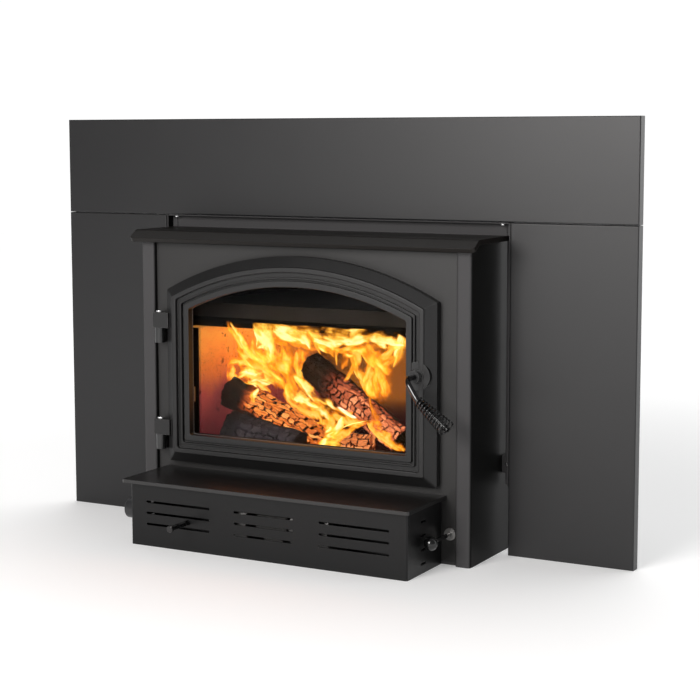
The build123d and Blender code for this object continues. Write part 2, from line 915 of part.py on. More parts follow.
with BuildPart() as door_frame:
    # flat edge, then the bevel up to the moulding
    with BuildSketch(front_plane(door_back_y)):
        add(arched_face(-door_bevel_width))
    extrude(amount=door_edge_depth)
    with BuildSketch(front_plane(door_back_y - door_edge_depth)):
        add(arched_face(-door_bevel_width))
    with BuildSketch(front_plane(bevel_top_y)):
        add(arched_face(0))
    loft()
    arched_ring(0, ridge_width, door_back_y - door_edge_depth, door_depth - door_edge_depth)
    fillet(edges_at(door_frame.part, door_front_y), ridge_round)
    # cove, bead, groove and flat band inside the ridge
    with BuildSketch(front_plane(door_back_y - groove_depth)):
        add(arched_face(cove_inset))
    extrude(amount=door_depth, mode=Mode.SUBTRACT)
    arched_ring(cove_inset, bead_inset, door_back_y - groove_depth, cove_depth - groove_depth)
    arched_ring(bead_inset, groove_inset, door_back_y - groove_depth, bead_depth - groove_depth)
    fillet(edges_at(door_frame.part, door_back_y - bead_depth), bead_round)
    arched_ring(band_inset, window_inset, door_back_y - groove_depth, band_depth - groove_depth)
    fillet(edges_at(door_frame.part, door_back_y - band_depth), bead_round)
    # pad and boss for the handle
    with BuildSketch(front_plane(door_back_y - door_edge_depth / 2)):
        with Locations((handle_x, handle_z)):
            Circle(handle_pad_radius)
        with Locations((0, handle_z)):
            Rectangle(
                door_width - 2 * groove_inset - groove_width, 3 * handle_pad_radius, mode=Mode.SUBTRACT
            )
    extrude(amount=handle_pad_depth - door_edge_depth / 2)
    with BuildSketch(front_plane(door_back_y - handle_pad_depth)):
        with Locations((handle_x, handle_z)):
            Circle(handle_boss_radius)
    extrude(amount=handle_boss_depth - handle_pad_depth)
    fillet(edges_at(door_frame.part, door_back_y - handle_boss_depth), 1)
    # hinge lugs
    for z in lug_zs:
        box_between(
            (pin_x - lug_reach, pin_y - lug_depth / 2, z),
            (lug_inner_x, pin_y + lug_depth / 2, z + lug_height),
        )
    with BuildSketch(Plane.XY):
        with Locations((pin_x, pin_y)):
            Circle(pin_radius + running_clearance)
    extrude(amount=surround_height, mode=Mode.SUBTRACT)
    # window, glass pocket, clip ledge, rope channel and shaft hole, cut from the back
    with BuildSketch(front_plane(door_back_y)):
        add(arched_face(window_inset, corner=3))
    extrude(amount=door_depth, mode=Mode.SUBTRACT)
    with BuildSketch(front_plane(door_back_y)):
        add(arched_face(clip_recess_inset))
    extrude(amount=clip_recess_depth, mode=Mode.SUBTRACT)
    with BuildSketch(front_plane(door_back_y)):
        add(arched_face(window_inset - glass_ledge))
    extrude(amount=door_back_y - pocket_y, mode=Mode.SUBTRACT)
    with BuildSketch(front_plane(door_back_y)):
        add(arched_face(rope_inset - rope_channel_width / 2))
        add(arched_face(rope_inset + rope_channel_width / 2), mode=Mode.SUBTRACT)
    extrude(amount=rope_channel_depth, mode=Mode.SUBTRACT)
    with BuildSketch(front_plane(door_back_y)):
        with Locations((handle_x, handle_z)):
            Circle(handle_radius + running_clearance)
    extrude(amount=handle_boss_depth, mode=Mode.SUBTRACT)
    with BuildSketch(front_plane(glass_back_y)):
        with Locations(*clip_locations()):
            with Locations((0, clip_screw_shift)):
                Circle(screw_shank_radius)
    extrude(amount=screw_length, mode=Mode.SUBTRACT)
pieces["door_frame"] = door_frame

with BuildPart() as door_glass:
    with BuildSketch(front_plane(glass_back_y)):
        add(arched_face(window_inset - glass_ledge + glass_fit))
    extrude(amount=glass_thickness)
pieces["door_glass"] = door_glass

with BuildPart() as glass_gasket:
    arched_ring(window_inset - glass_ledge + glass_fit, window_inset, glass_front_y, gasket_thickness)
pieces["glass_gasket"] = glass_gasket

with BuildPart() as door_rope:
    arched_ring(
        rope_inset - rope_width / 2,
        rope_inset + rope_width / 2,
        front_plate_y - hinge_gap,
        rope_channel_depth + door_gap - hinge_gap,
    )
    fillet(edges_at(door_rope.part, front_plate_y - hinge_gap), rope_width * 0.3)
pieces["door_rope"] = door_rope

with BuildPart() as glass_clips:
    with BuildSketch(front_plane(glass_back_y + clip_thickness)):
        with Locations(*clip_locations()):
            Rectangle(clip_length, clip_width)
            with Locations((0, clip_screw_shift)):
                Circle(screw_hole_radius, mode=Mode.SUBTRACT)
    extrude(amount=clip_thickness)
pieces["glass_clips"] = glass_clips

with BuildPart() as clip_screws:
    with BuildSketch(front_plane(glass_back_y + clip_thickness)):
        with Locations(*clip_locations()):
            with Locations((0, clip_screw_shift)):
                Circle(screw_head_radius)
    extrude(amount=-screw_head_height)
    with BuildSketch(front_plane(glass_back_y + clip_thickness)):
        with Locations(*clip_locations()):
            with Locations((0, clip_screw_shift)):
                Circle(screw_shank_radius)
    extrude(amount=screw_length)
pieces["clip_screws"] = clip_screws


# ---- handle ----

boss_front_y = door_back_y - handle_boss_depth
cam_back_y = cam_y + cam_thickness
nut_thickness = 5

with BuildPart() as handle_rod:
    with BuildLine() as rod_path:
        FilletPolyline(
            (handle_x, cam_back_y + nut_thickness, handle_z),
            (handle_x, handle_bend_y, handle_z),
            neck_end,
            grip_end,
            radius=handle_bend_radius,
        )
    with BuildSketch(Plane(origin=rod_path.line @ 0, z_dir=rod_path.line % 0)):
        Circle(handle_radius)
    sweep()
pieces["handle_rod"] = handle_rod

grip_axis = (Vector(*grip_end) - Vector(*neck_end)).normalized()
grip_side = grip_axis.cross(Vector(0, 1, 0)).normalized()
grip_up = grip_axis.cross(grip_side)
grip_base = Vector(*neck_end) + grip_axis * grip_lead
grip_length = (Vector(*grip_end) - grip_base).length - grip_wire_radius
grip_start_radius = handle_radius + grip_fit + grip_wire_radius


def grip_point(turn):
    # centre of the wire after a number of turns
    share = turn / grip_turns
    radius = grip_start_radius + (grip_end_radius - grip_start_radius) * share
    angle = 2 * pi * turn
    return (
        grip_base
        + grip_axis * (grip_wire_radius + (grip_length - 2 * grip_wire_radius) * share)
        + (grip_side * cos(angle) + grip_up * sin(angle)) * radius
    )


def grip_tangent(turn):
    step = 1e-4
    return (grip_point(turn + step) - grip_point(turn - step)).normalized()


def arc_joint(p0, t0, p1, t1):
    # where two arcs meet that leave p0 along t0 and reach p1 along t1
    chord = p1 - p0
    both = t0 + t1
    bend = 2 * (1 - t0.dot(t1))
    along = chord.dot(both)
    reach = (-along + sqrt(along**2 + bend * chord.dot(chord))) / bend
    joint = ((p0 + t0 * reach) + (p1 - t1 * reach)) / 2
    return joint, chord - both * reach


with BuildPart() as handle_coil:
    stops = [index / 4 for index in range(4 * grip_turns + 1)]
    first, last = grip_point(0), grip_point(grip_turns)
    with BuildLine() as wire_path:
        Line(first - grip_tangent(0) * 2 * grip_wire_radius, first)
        for low, high in zip(stops, stops[1:]):
            p0, p1 = grip_point(low), grip_point(high)
            middle, middle_tangent = arc_joint(p0, grip_tangent(low), p1, grip_tangent(high))
            TangentArc(p0, middle, tangent=grip_tangent(low))
            TangentArc(middle, p1, tangent=middle_tangent)
        Line(last, last + grip_tangent(grip_turns) * 2 * grip_wire_radius)
    with BuildSketch(Plane(origin=wire_path.line @ 0, z_dir=wire_path.line % 0)):
        Circle(grip_wire_radius)
    sweep()
pieces["handle_coil"] = handle_coil

coil_points = [grip_point(index / 48) for index in range(48 * grip_turns + 1)]
coil_gap = min(
    (coil_points[i] - coil_points[j]).length
    for i in range(len(coil_points))
    for j in range(i + 24, len(coil_points))
)
print("coil", grip_turns, "turns, least gap to itself", round(coil_gap - 2 * grip_wire_radius, 2), "mm")

with BuildPart() as collars:
    for index in range(collar_count):
        radius = collar_radius if index % 2 == 0 else collar_radius - collar_step
        with BuildSketch(front_plane(boss_front_y - collar_gap - index * collar_thickness)):
            with Locations((handle_x, handle_z)):
                Circle(radius)
                Circle(handle_radius, mode=Mode.SUBTRACT)
        extrude(amount=collar_thickness)
pieces["handle_collars"] = collars

with BuildPart() as latch_cam:
    tip_x = handle_x + cam_length * sin(radians(cam_rest_angle))
    tip_z = handle_z + cam_length * cos(radians(cam_rest_angle))
    with BuildSketch(front_plane(cam_back_y)):
        with Locations(((handle_x + tip_x) / 2, (handle_z + tip_z) / 2)):
            Rectangle(cam_width - 2, cam_length, rotation=-cam_rest_angle)
        with Locations((handle_x, handle_z)):
            Circle(cam_width / 2)
        with Locations((tip_x, tip_z)):
            Circle(cam_width / 2 - 1)
        with Locations((handle_x, handle_z)):
            Circle(handle_radius, mode=Mode.SUBTRACT)
    extrude(amount=cam_thickness)
pieces["latch_cam"] = latch_cam

with BuildPart() as cam_nut:
    with BuildSketch(front_plane(cam_back_y + nut_thickness)):
        with Locations((handle_x, handle_z)):
            RegularPolygon(cam_width / 2, 6)
            Circle(handle_radius, mode=Mode.SUBTRACT)
    extrude(amount=nut_thickness)
pieces["cam_nut"] = cam_nut

with BuildPart() as latch_catch:
    catch_x = door_width / 2 - plate_opening_inset + 1
    box_between(
        (catch_x, front_plate_back_y, handle_z - catch_length / 2),
        (catch_x + catch_width, front_plate_back_y + catch_thickness, handle_z + catch_length / 2),
    )
pieces["latch_catch"] = latch_catch


# ---- ash shelf and blower box ----

half_box = box_width / 2
box_side_front = box_front_y + box_return + box_seam

with BuildPart() as ash_shelf:
    half = half_box + shelf_overhang
    shelf_front = box_front_y - shelf_front_overhang
    box_between((-half, shelf_front, box_top), (half, front_plate_y, shelf_top))
    fillet(ash_shelf.edges().filter_by(Axis.Z).group_by(Axis.Y)[0], shelf_corner)
pieces["ash_shelf"] = ash_shelf

with BuildPart() as louvre_panel:
    with BuildSketch():
        with BuildLine():
            FilletPolyline(
                (-half_box, box_front_y + box_return),
                (-half_box, box_front_y),
                (half_box, box_front_y),
                (half_box, box_front_y + box_return),
                radius=box_bend,
            )
            offset(amount=box_sheet, side=Side.LEFT)
        make_face()
    extrude(amount=box_top)
    with BuildSketch(front_plane(box_front_y + box_sheet)):
        with Locations((0, louvre_middle_z)):
            with GridLocations(0, louvre_pitch, 1, louvre_rows):
                SlotOverall(louvre_middle_length, louvre_height)
        for x in (-louvre_group_pitch, louvre_group_pitch):
            with Locations((x, louvre_middle_z)):
                with GridLocations(0, louvre_pitch, 1, louvre_rows):
                    SlotOverall(louvre_side_length, louvre_height)
        with Locations((front_rod_x, front_rod_z)):
            Circle(front_rod_radius + slide_clearance)
    extrude(amount=box_sheet, mode=Mode.SUBTRACT)
pieces["louvre_panel"] = louvre_panel

with BuildPart() as blower_box:
    box_between((-half_box, box_side_front, 0), (half_box, front_plate_y, box_top))
    box_between(
        (-half_box + box_sheet, box_side_front, box_sheet),
        (half_box - box_sheet, front_plate_y, box_top),
        mode=Mode.SUBTRACT,
    )
    slot_middle_z = side_slot_bottom + (side_slot_rows - 1) * side_slot_pitch / 2
    with BuildSketch(Plane.YZ.offset(-half_box)):
        with Locations((side_slot_y, slot_middle_z)):
            with GridLocations(0, side_slot_pitch, 1, side_slot_rows):
                SlotOverall(side_slot_length, louvre_height)
    extrude(amount=2 * half_box, mode=Mode.SUBTRACT)
    with BuildSketch(Plane.YZ.offset(-half_box)):
        with Locations((speed_knob_y, speed_knob_z)):
            Circle(speed_shaft_radius + screw_clearance)
        with Locations((cord_bush_y, cord_bush_z)):
            Circle(cord_bush_radius - cord_bush_rim)
    extrude(amount=box_sheet, mode=Mode.SUBTRACT)
pieces["blower_box"] = blower_box


# ---- blower ----

with BuildPart() as scrolls:
    outlet_points = ((fan_y, scroll_outlet_bottom), (front_plate_y, scroll_outlet_top))
    outlet_middle = tuple((a + b) / 2 for a, b in zip(*outlet_points))
    outlet_size = tuple(b - a for a, b in zip(*outlet_points))
    for side in (-1, 1):
        low_x = side * fan_centre_x - scroll_length / 2
        with BuildSketch(Plane.YZ.offset(low_x)):
            with Locations((fan_y, fan_z)):
                Circle(scroll_radius)
            with Locations(outlet_middle):
                Rectangle(*outlet_size)
        extrude(amount=scroll_length)
        with BuildSketch(Plane.YZ.offset(low_x + scroll_sheet)):
            with Locations((fan_y, fan_z)):
                Circle(scroll_radius - scroll_sheet)
            with Locations(outlet_middle):
                Rectangle(outlet_size[0], outlet_size[1] - 2 * scroll_sheet)
        extrude(amount=scroll_length - 2 * scroll_sheet, mode=Mode.SUBTRACT)
        with BuildSketch(Plane.YZ.offset(low_x)):
            with Locations((fan_y, fan_z)):
                Circle(scroll_eye_radius)
        extrude(amount=scroll_length, mode=Mode.SUBTRACT)
        # feet that carry the scroll on the box floor
        for x in (low_x + 8, low_x + scroll_length - 8):
            box_between(
                (x - 1, fan_y - scroll_foot_length / 2, box_sheet),
                (x + 1, fan_y + scroll_foot_length / 2, fan_z - scroll_radius + scroll_foot_lap),
            )
pieces["blower_scrolls"] = scrolls

with BuildPart() as wheels:
    for side in (-1, 1):
        low_x = side * fan_centre_x - fan_length / 2
        with BuildSketch(Plane.YZ.offset(low_x)):
            with Locations((fan_y, fan_z)):
                with PolarLocations(fan_radius - fan_blade_depth / 2, fan_blades):
                    Rectangle(fan_blade_depth, fan_blade_thickness, rotation=fan_blade_angle)
        extrude(amount=fan_length)
        for x in (low_x, low_x + fan_length - fan_disc_thickness):
            with BuildSketch(Plane.YZ.offset(x)):
                with Locations((fan_y, fan_z)):
                    Circle(fan_radius)
                    Circle(fan_radius - fan_blade_depth, mode=Mode.SUBTRACT)
            extrude(amount=fan_disc_thickness)
        with BuildSketch(Plane.YZ.offset(side * fan_centre_x - fan_disc_thickness / 2)):
            with Locations((fan_y, fan_z)):
                Circle(fan_radius - fan_blade_depth / 2)
        extrude(amount=fan_disc_thickness)
        with BuildSketch(Plane.YZ.offset(side * fan_centre_x - fan_hub_radius)):
            with Locations((fan_y, fan_z)):
                Circle(fan_hub_radius)
        extrude(amount=2 * fan_hub_radius)
    shaft_reach = fan_centre_x + fan_length / 2
    with BuildSketch(Plane.YZ.offset(-shaft_reach)):
        with Locations((fan_y, fan_z)):
            Circle(fan_shaft_radius)
    extrude(amount=2 * shaft_reach, mode=Mode.SUBTRACT)
pieces["blower_wheels"] = wheels

with BuildPart() as fan_shaft:
    shaft_half = fan_centre_x + fan_hub_radius + 3
    with BuildSketch(Plane.YZ.offset(-shaft_half)):
        with Locations((fan_y, fan_z)):
            Circle(fan_shaft_radius)
    extrude(amount=2 * shaft_half)
pieces["blower_shaft"] = fan_shaft

with BuildPart() as motor:
    with BuildSketch(Plane.YZ.offset(-motor_length / 2)):
        with Locations((fan_y, fan_z)):
            Circle(motor_radius)
    extrude(amount=motor_length)
    fillet(motor.edges().filter_by(GeomType.CIRCLE), motor_edge)
    with BuildSketch(Plane.YZ.offset(-motor_length / 2)):
        with Locations((fan_y, fan_z)):
            Circle(fan_shaft_radius + running_clearance)
            with PolarLocations(motor_vent_circle, motor_vents):
                SlotOverall(2 * motor_vent_radius + 3, 2 * motor_vent_radius)
    extrude(amount=motor_length, mode=Mode.SUBTRACT)
pieces["blower_motor"] = motor

with BuildPart() as motor_cradle:
    box_between(
        (-motor_bracket_length / 2, fan_y - motor_bracket_width / 2, box_sheet),
        (motor_bracket_length / 2, fan_y + motor_bracket_width / 2, fan_z - motor_radius + motor_cradle_lap),
    )
    box_between(
        (-motor_bracket_length / 2, fan_y - motor_bracket_width / 2 + cradle_wall, box_sheet + cradle_wall),
        (motor_bracket_length / 2, fan_y + motor_bracket_width / 2 - cradle_wall, fan_z),
        mode=Mode.SUBTRACT,
    )
    with BuildSketch(Plane.YZ.offset(-motor_bracket_length / 2)):
        with Locations((fan_y, fan_z)):
            Circle(motor_radius)
    extrude(amount=motor_bracket_length, mode=Mode.SUBTRACT)
pieces["motor_bracket"] = motor_cradle

with BuildPart() as heat_switch:
    with BuildSketch(front_plane(front_plate_y)):
        with Locations((heat_switch_x, heat_switch_z)):
            Circle(heat_switch_radius)
    extrude(amount=heat_switch_height)
    with BuildSketch(front_plane(front_plate_y - heat_switch_height)):
        with Locations((heat_switch_x - 5, heat_switch_z), (heat_switch_x + 5, heat_switch_z)):
            Rectangle(2, 6)
    extrude(amount=heat_switch_height)
pieces["heat_switch"] = heat_switch

with BuildPart() as speed_control:
    inner_face = -half_box + box_sheet
    with BuildSketch(Plane.YZ.offset(inner_face)):
        with Locations((speed_knob_y, speed_knob_z)):
            RectangleRounded(speed_control_size - 8, speed_control_size, 2)
            Circle(speed_shaft_radius + running_clearance, mode=Mode.SUBTRACT)
    extrude(amount=speed_control_depth)
pieces["speed_control"] = speed_control

with BuildPart() as speed_knob:
    knob_face = -half_box - slide_clearance
    with BuildSketch(Plane.YZ.offset(knob_face)):
        with Locations((speed_knob_y, speed_knob_z)):
            Circle(speed_knob_radius)
    extrude(amount=-speed_knob_length, taper=4)
    fillet(speed_knob.edges().group_by(Axis.X)[0], 1.5)
    with BuildSketch(Plane.YZ.offset(knob_face - speed_knob_length)):
        with Locations((speed_knob_y, speed_knob_z + speed_knob_radius * 0.6)):
            Rectangle(2, speed_knob_radius * 0.5)
    extrude(amount=1, mode=Mode.SUBTRACT)
    with BuildSketch(Plane.YZ.offset(knob_face)):
        with Locations((speed_knob_y, speed_knob_z)):
            Circle(speed_shaft_radius)
    extrude(amount=box_sheet + slide_clearance + speed_control_depth * 0.7)
pieces["speed_knob"] = speed_knob

with BuildPart() as cord_bush:
    for x, thickness, radius in (
        (-half_box - cord_bush_rim, cord_bush_rim, cord_bush_radius),
        (-half_box, box_sheet, cord_bush_radius - cord_bush_rim),
        (-half_box + box_sheet, cord_bush_rim, cord_bush_radius),
    ):
        with BuildSketch(Plane.YZ.offset(x)):
            with Locations((cord_bush_y, cord_bush_z)):
                Circle(radius)
                Circle(cord_bush_bore, mode=Mode.SUBTRACT)
        extrude(amount=thickness)
pieces["cord_bush"] = cord_bush


# ---- air controls ----

rods = (
    (front_rod_x, front_rod_z, front_rod_radius),
    (side_rod_x, side_rod_z, side_rod_radius),
)
slide_back_y = air_slide_front_y + air_slide_length

with BuildPart() as front_air_rod:
    with BuildSketch(front_plane(slide_back_y)):
        with Locations((front_rod_x, front_rod_z)):
            Circle(front_rod_radius)
    extrude(amount=slide_back_y - front_rod_tip_y)
    with BuildSketch(front_plane(front_rod_tip_y)):
        with Locations((front_rod_x, front_rod_z)):
            Circle(front_rod_disc_radius)
    extrude(amount=-front_rod_disc_thickness)
    fillet(front_air_rod.edges().group_by(Axis.Y)[0], 1)
    box_between(
        (front_rod_x - air_slide_half, air_slide_front_y, front_rod_z + front_rod_radius - air_slide_sink),
        (
            front_rod_x + air_slide_half,
            slide_back_y,
            front_rod_z + front_rod_radius - air_slide_sink + air_slide_thickness,
        ),
    )
pieces["front_air_rod"] = front_air_rod

with BuildPart() as side_air_rod:
    with BuildSketch(front_plane(slide_back_y)):
        with Locations((side_rod_x, side_rod_z)):
            Circle(side_rod_radius)
    extrude(amount=slide_back_y - side_rod_knob_y)
    with Locations((side_rod_x, side_rod_knob_y, side_rod_z)):
        Sphere(side_rod_knob_radius)
    box_between(
        (side_rod_x - air_slide_half, air_slide_front_y, side_rod_z + side_rod_radius - air_slide_sink),
        (
            side_rod_x + air_slide_half,
            slide_back_y,
            side_rod_z + side_rod_radius - air_slide_sink + air_slide_thickness,
        ),
    )
pieces["side_air_rod"] = side_air_rod

with BuildPart() as rod_guides:
    for x, z, radius in rods:
        with BuildSketch(front_plane(front_plate_y - guide_flange + guide_length)):
            with Locations((x, z)):
                Circle(radius + guide_wall)
        extrude(amount=guide_length)
        with BuildSketch(front_plane(front_plate_y)):
            with Locations((x, z)):
                Circle(radius + guide_wall + guide_flange)
        extrude(amount=guide_flange)
        with BuildSketch(front_plane(front_plate_y - guide_flange + guide_length)):
            with Locations((x, z)):
                Circle(radius + running_clearance)
        extrude(amount=guide_length, mode=Mode.SUBTRACT)
pieces["rod_guides"] = rod_guides

with BuildPart() as air_boxes:
    for x, z, radius in rods:
        roof = z + radius - air_slide_sink + air_slide_thickness + slide_clearance
        inner = air_slide_half + slide_clearance
        outer = inner + air_box_sheet
        box_top_z = roof + air_box_sheet
        box_between(
            (x - outer, front_plate_back_y, base_plate_thickness),
            (x + outer, air_box_back_y, box_top_z),
        )
        box_between(
            (x - inner, front_plate_back_y, base_plate_thickness),
            (x + inner, air_box_back_y - air_box_sheet, roof),
            mode=Mode.SUBTRACT,
        )
        port_y = air_slide_front_y + air_slide_length / 2 + air_slide_travel
        box_between(
            (x - air_port_length / 2, port_y - air_port_length / 2, roof),
            (x + air_port_length / 2, port_y + air_port_length / 2, roof + air_box_sheet),
            mode=Mode.SUBTRACT,
        )
pieces["air_boxes"] = air_boxes


# ---- fire ----


def on_hearth(spot):
    # a log's place in the firebox
    return Vector(spot[0] * (casing_width / 2 - brick_inset), spot[1], hearth_z + spot[2])


def log_sections(start, end, radii, turn):
    # the two ends of a charred log, each a rough many-sided face
    axis = on_hearth(end) - on_hearth(start)
    sections = []
    for share in (0, 1):
        place = Plane(origin=on_hearth(start) + axis * share, z_dir=axis)
        count = len(radii)
        scale = 1 - 0.08 * share
        points = [
            (scale * r * cos(2 * pi * i / count + turn), scale * r * sin(2 * pi * i / count + turn))
            for i, r in enumerate(radii)
        ]
        with BuildSketch(place) as end_face:
            with BuildLine():
                Polyline(*points, close=True)
            make_face()
        sections.append(end_face.sketch)
    return sections


with BuildPart() as logs:
    for start, end, radii, turn in log_list:
        loft(sections=log_sections(start, end, radii, turn))
pieces["logs"] = logs

solids = logs.solids()
for i in range(len(solids)):
    for j in range(i + 1, len(solids)):
        print("logs", i, j, "apart", round(solids[i].distance_to(solids[j]), 2), "mm")
for index, solid in enumerate(solids):
    box = solid.bounding_box()
    print("log", index, "over the hearth", round(box.min.Z - hearth_z, 2), "mm, top", round(box.max.Z, 1))

os.makedirs("parts", exist_ok=True)
for name, piece in pieces.items():
    piece.part.label = name
    export_step(piece.part, f"parts/{name}.step")
print("nodes", len(pieces))
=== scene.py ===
import math
import random

import bmesh
import bpy
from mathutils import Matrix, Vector, noise


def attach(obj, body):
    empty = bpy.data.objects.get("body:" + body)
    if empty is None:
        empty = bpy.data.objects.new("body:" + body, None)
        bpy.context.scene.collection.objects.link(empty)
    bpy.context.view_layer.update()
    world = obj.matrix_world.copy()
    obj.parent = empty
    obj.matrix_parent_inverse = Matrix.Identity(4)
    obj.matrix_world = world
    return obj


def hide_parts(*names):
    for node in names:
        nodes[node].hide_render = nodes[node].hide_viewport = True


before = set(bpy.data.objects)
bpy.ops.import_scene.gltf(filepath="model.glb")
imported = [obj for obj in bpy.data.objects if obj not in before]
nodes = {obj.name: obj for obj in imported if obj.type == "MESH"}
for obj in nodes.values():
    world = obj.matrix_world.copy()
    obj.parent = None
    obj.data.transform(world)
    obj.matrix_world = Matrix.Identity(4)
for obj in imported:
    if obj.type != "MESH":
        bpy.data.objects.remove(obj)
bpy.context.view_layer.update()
print("frame loaded:", len(nodes), "nodes")


# helpers for node trees: a value is a number, a tuple or the output of another node

def setSocket(tree, socket, value):
    if isinstance(value, (int, float)):
        socket.default_value = value
    elif isinstance(value, tuple):
        isColor = socket.type == "RGBA" and len(value) == 3
        socket.default_value = (*value, 1.0) if isColor else value
    else:
        tree.links.new(value, socket)


def fill(tree, node, **values):
    for label, value in values.items():
        setSocket(tree, node.inputs[label.replace("_", " ")], value)
    return node


def newNode(tree, kind, **values):
    return fill(tree, tree.nodes.new("ShaderNode" + kind), **values)


def mathNode(tree, operation, *values, clamp=False):
    node = newNode(tree, "Math")
    node.operation = operation
    node.use_clamp = clamp
    for slot, value in enumerate(values):
        setSocket(tree, node.inputs[slot], value)
    return node.outputs[0]


def times(tree, first, second):
    return mathNode(tree, "MULTIPLY", first, second)


def centred(tree, value):
    # from a noise around 0.5 to one around 0
    return mathNode(tree, "SUBTRACT", value, 0.5)


def vectorMath(tree, operation, first, second=None):
    node = newNode(tree, "VectorMath", Vector=first)
    node.operation = operation
    if second is not None:
        setSocket(tree, node.inputs["Scale" if operation == "SCALE" else 1], second)
    return node.outputs["Value" if operation in ("DOT_PRODUCT", "LENGTH") else "Vector"]


def axes(tree, vector):
    return newNode(tree, "SeparateXYZ", Vector=vector).outputs


def remap(tree, value, low, high, newLow=0.0, newHigh=1.0, smooth=True):
    node = newNode(tree, "MapRange", Value=value, From_Min=low, From_Max=high, To_Min=newLow,
                   To_Max=newHigh)
    node.interpolation_type = "SMOOTHSTEP" if smooth else "LINEAR"
    return node.outputs["Result"]


def fadeEnds(tree, value, margin):
    # 1 in the middle of a run from 0 to 1, and 0 at both of its ends
    return times(tree, remap(tree, value, 0.0, margin), remap(tree, value, 1.0, 1.0 - margin))


def mixColor(tree, factor, first, second):
    node = newNode(tree, "Mix")
    node.data_type = "RGBA"
    for slot, value in ((0, factor), (6, first), (7, second)):
        setSocket(tree, node.inputs[slot], value)
    return node.outputs[2]


def noiseTexture(tree, vector, scale, detail=2.0, roughness=0.5, distortion=0.0, output="Fac"):
    node = newNode(tree, "TexNoise", Vector=vector, Scale=scale, Detail=detail,
                   Roughness=roughness, Distortion=distortion)
    return node.outputs[output]


def placed(tree, vector, scale=(1, 1, 1), turn=(0, 0, 0)):
    return newNode(tree, "Mapping", Vector=vector, Scale=scale, Rotation=turn).outputs[0]


def objectCoords(tree):
    return newNode(tree, "TexCoord").outputs["Object"]


def uvCoords(tree, label=""):
    node = newNode(tree, "UVMap")
    node.uv_map = label
    return node.outputs[0]


def surfaceNormal(tree):
    return newNode(tree, "NewGeometry").outputs["Normal"]


def colorRamp(tree, factor, stops):
    # stops: (place, color) in order, the first of them at 0
    node = newNode(tree, "ValToRGB", Fac=factor)
    elements = node.color_ramp.elements
    elements.remove(elements[-1])
    for place, color in stops:
        element = elements.new(place) if place else elements[0]
        element.color = (*color, 1.0)
    return node.outputs[0]


socketKinds = {"Color": "Color", "Vector": "Vector", "Normal": "Vector", "Shape": "Vector",
               "Flow": "Vector"}


def newGroup(name, inputs, outputs):
    group = bpy.data.node_groups.new(name, "ShaderNodeTree")
    for way, labels in (("INPUT", inputs), ("OUTPUT", outputs)):
        for label in labels:
            kind = "NodeSocket" + socketKinds.get(label, "Float")
            group.interface.new_socket(name=label, in_out=way, socket_type=kind)
    return group, group.nodes.new("NodeGroupInput").outputs, group.nodes.new("NodeGroupOutput")


def useGroup(tree, group, **values):
    node = newNode(tree, "Group")
    node.node_tree = group
    return fill(tree, node, **values).outputs


def newMaterial(name, **sockets):
    material = bpy.data.materials.new(name)
    material.use_nodes = True
    tree = material.node_tree
    return material, tree, fill(tree, tree.nodes["Principled BSDF"], **sockets)


def addBump(tree, shader, height, strength, distance=0.001, normal=None):
    bump = newNode(tree, "Bump", Strength=strength, Distance=distance, Height=height)
    if normal is not None:
        fill(tree, bump, Normal=normal)
    fill(tree, shader, Normal=bump.outputs[0])


# helpers for meshes

def weave(mesh, rows, layers):
    # joins rows of corners into smooth faces; each layer tells its UV for a row and a column
    for label in layers:
        mesh.loops.layers.uv.new(label)
    layers = [(mesh.loops.layers.uv[label], spotUv) for label, spotUv in layers.items()]
    for row in range(len(rows) - 1):
        for column in range(len(rows[0]) - 1):
            spots = ((row, column), (row, column + 1), (row + 1, column + 1), (row + 1, column))
            face = mesh.faces.new([rows[along][across] for along, across in spots])
            face.smooth = True
            for loop, (along, across) in zip(face.loops, spots):
                for layer, spotUv in layers:
                    loop[layer].uv = spotUv(along, across)


def addObject(name, data):
    piece = bpy.data.objects.new(name, data)
    bpy.context.scene.collection.objects.link(piece)
    return piece


def meshObject(name, mesh, material):
    data = bpy.data.meshes.new(name)
    mesh.to_mesh(data)
    mesh.free()
    data.materials.append(material)
    return addObject(name, data)


# shared effects

def makePaintGrain():
    # fine paint texture: speckle, slow mottling and a little roughness change
    group, given, made = newGroup(
        "paintGrain",
        ("Color", "Grain Scale", "Speckle", "Mottle Scale", "Mottle", "Roughness",
         "Roughness Spread"),
        ("Color", "Roughness", "Height"))
    coords = objectCoords(group)
    grain = noiseTexture(group, coords, given["Grain Scale"], roughness=0.6)
    mottle = noiseTexture(group, coords, given["Mottle Scale"], detail=4.0)
    speckled = times(group, centred(group, grain), given["Speckle"])
    mottled = times(group, centred(group, mottle), given["Mottle"])
    gain = mathNode(group, "ADD", mathNode(group, "ADD", speckled, mottled), 1.0)
    spread = times(group, centred(group, mottle), given["Roughness Spread"])
    fill(group, made, Color=vectorMath(group, "SCALE", given["Color"], gain),
         Roughness=mathNode(group, "ADD", given["Roughness"], spread), Height=grain)
    return group


def makeEdgeCatch():
    # a mask on the edges, where a lighter colour is painted on as a painted highlight, and a normal
    # that rounds them
    group, given, made = newGroup("edgeCatch", ("Radius", "Reach"), ("Edge", "Normal"))
    bevel = newNode(group, "Bevel", Radius=given["Radius"])
    bevel.samples = 4
    alike = vectorMath(group, "DOT_PRODUCT", bevel.outputs[0], surfaceNormal(group))
    away = mathNode(group, "SUBTRACT", 1.0, alike)
    fill(group, made, Edge=remap(group, away, 0.02, given["Reach"]), Normal=bevel.outputs[0])
    return group


# waver: how far the cracks stray in metres, at a slow and at a fine scale
charGrain = {"slowScale": 42.0, "slowWaver": 0.024, "fineScale": 190.0, "fineWaver": 0.006,
             "closedScale": 70.0, "fibreAcross": 700.0, "fibreAlong": 60.0}


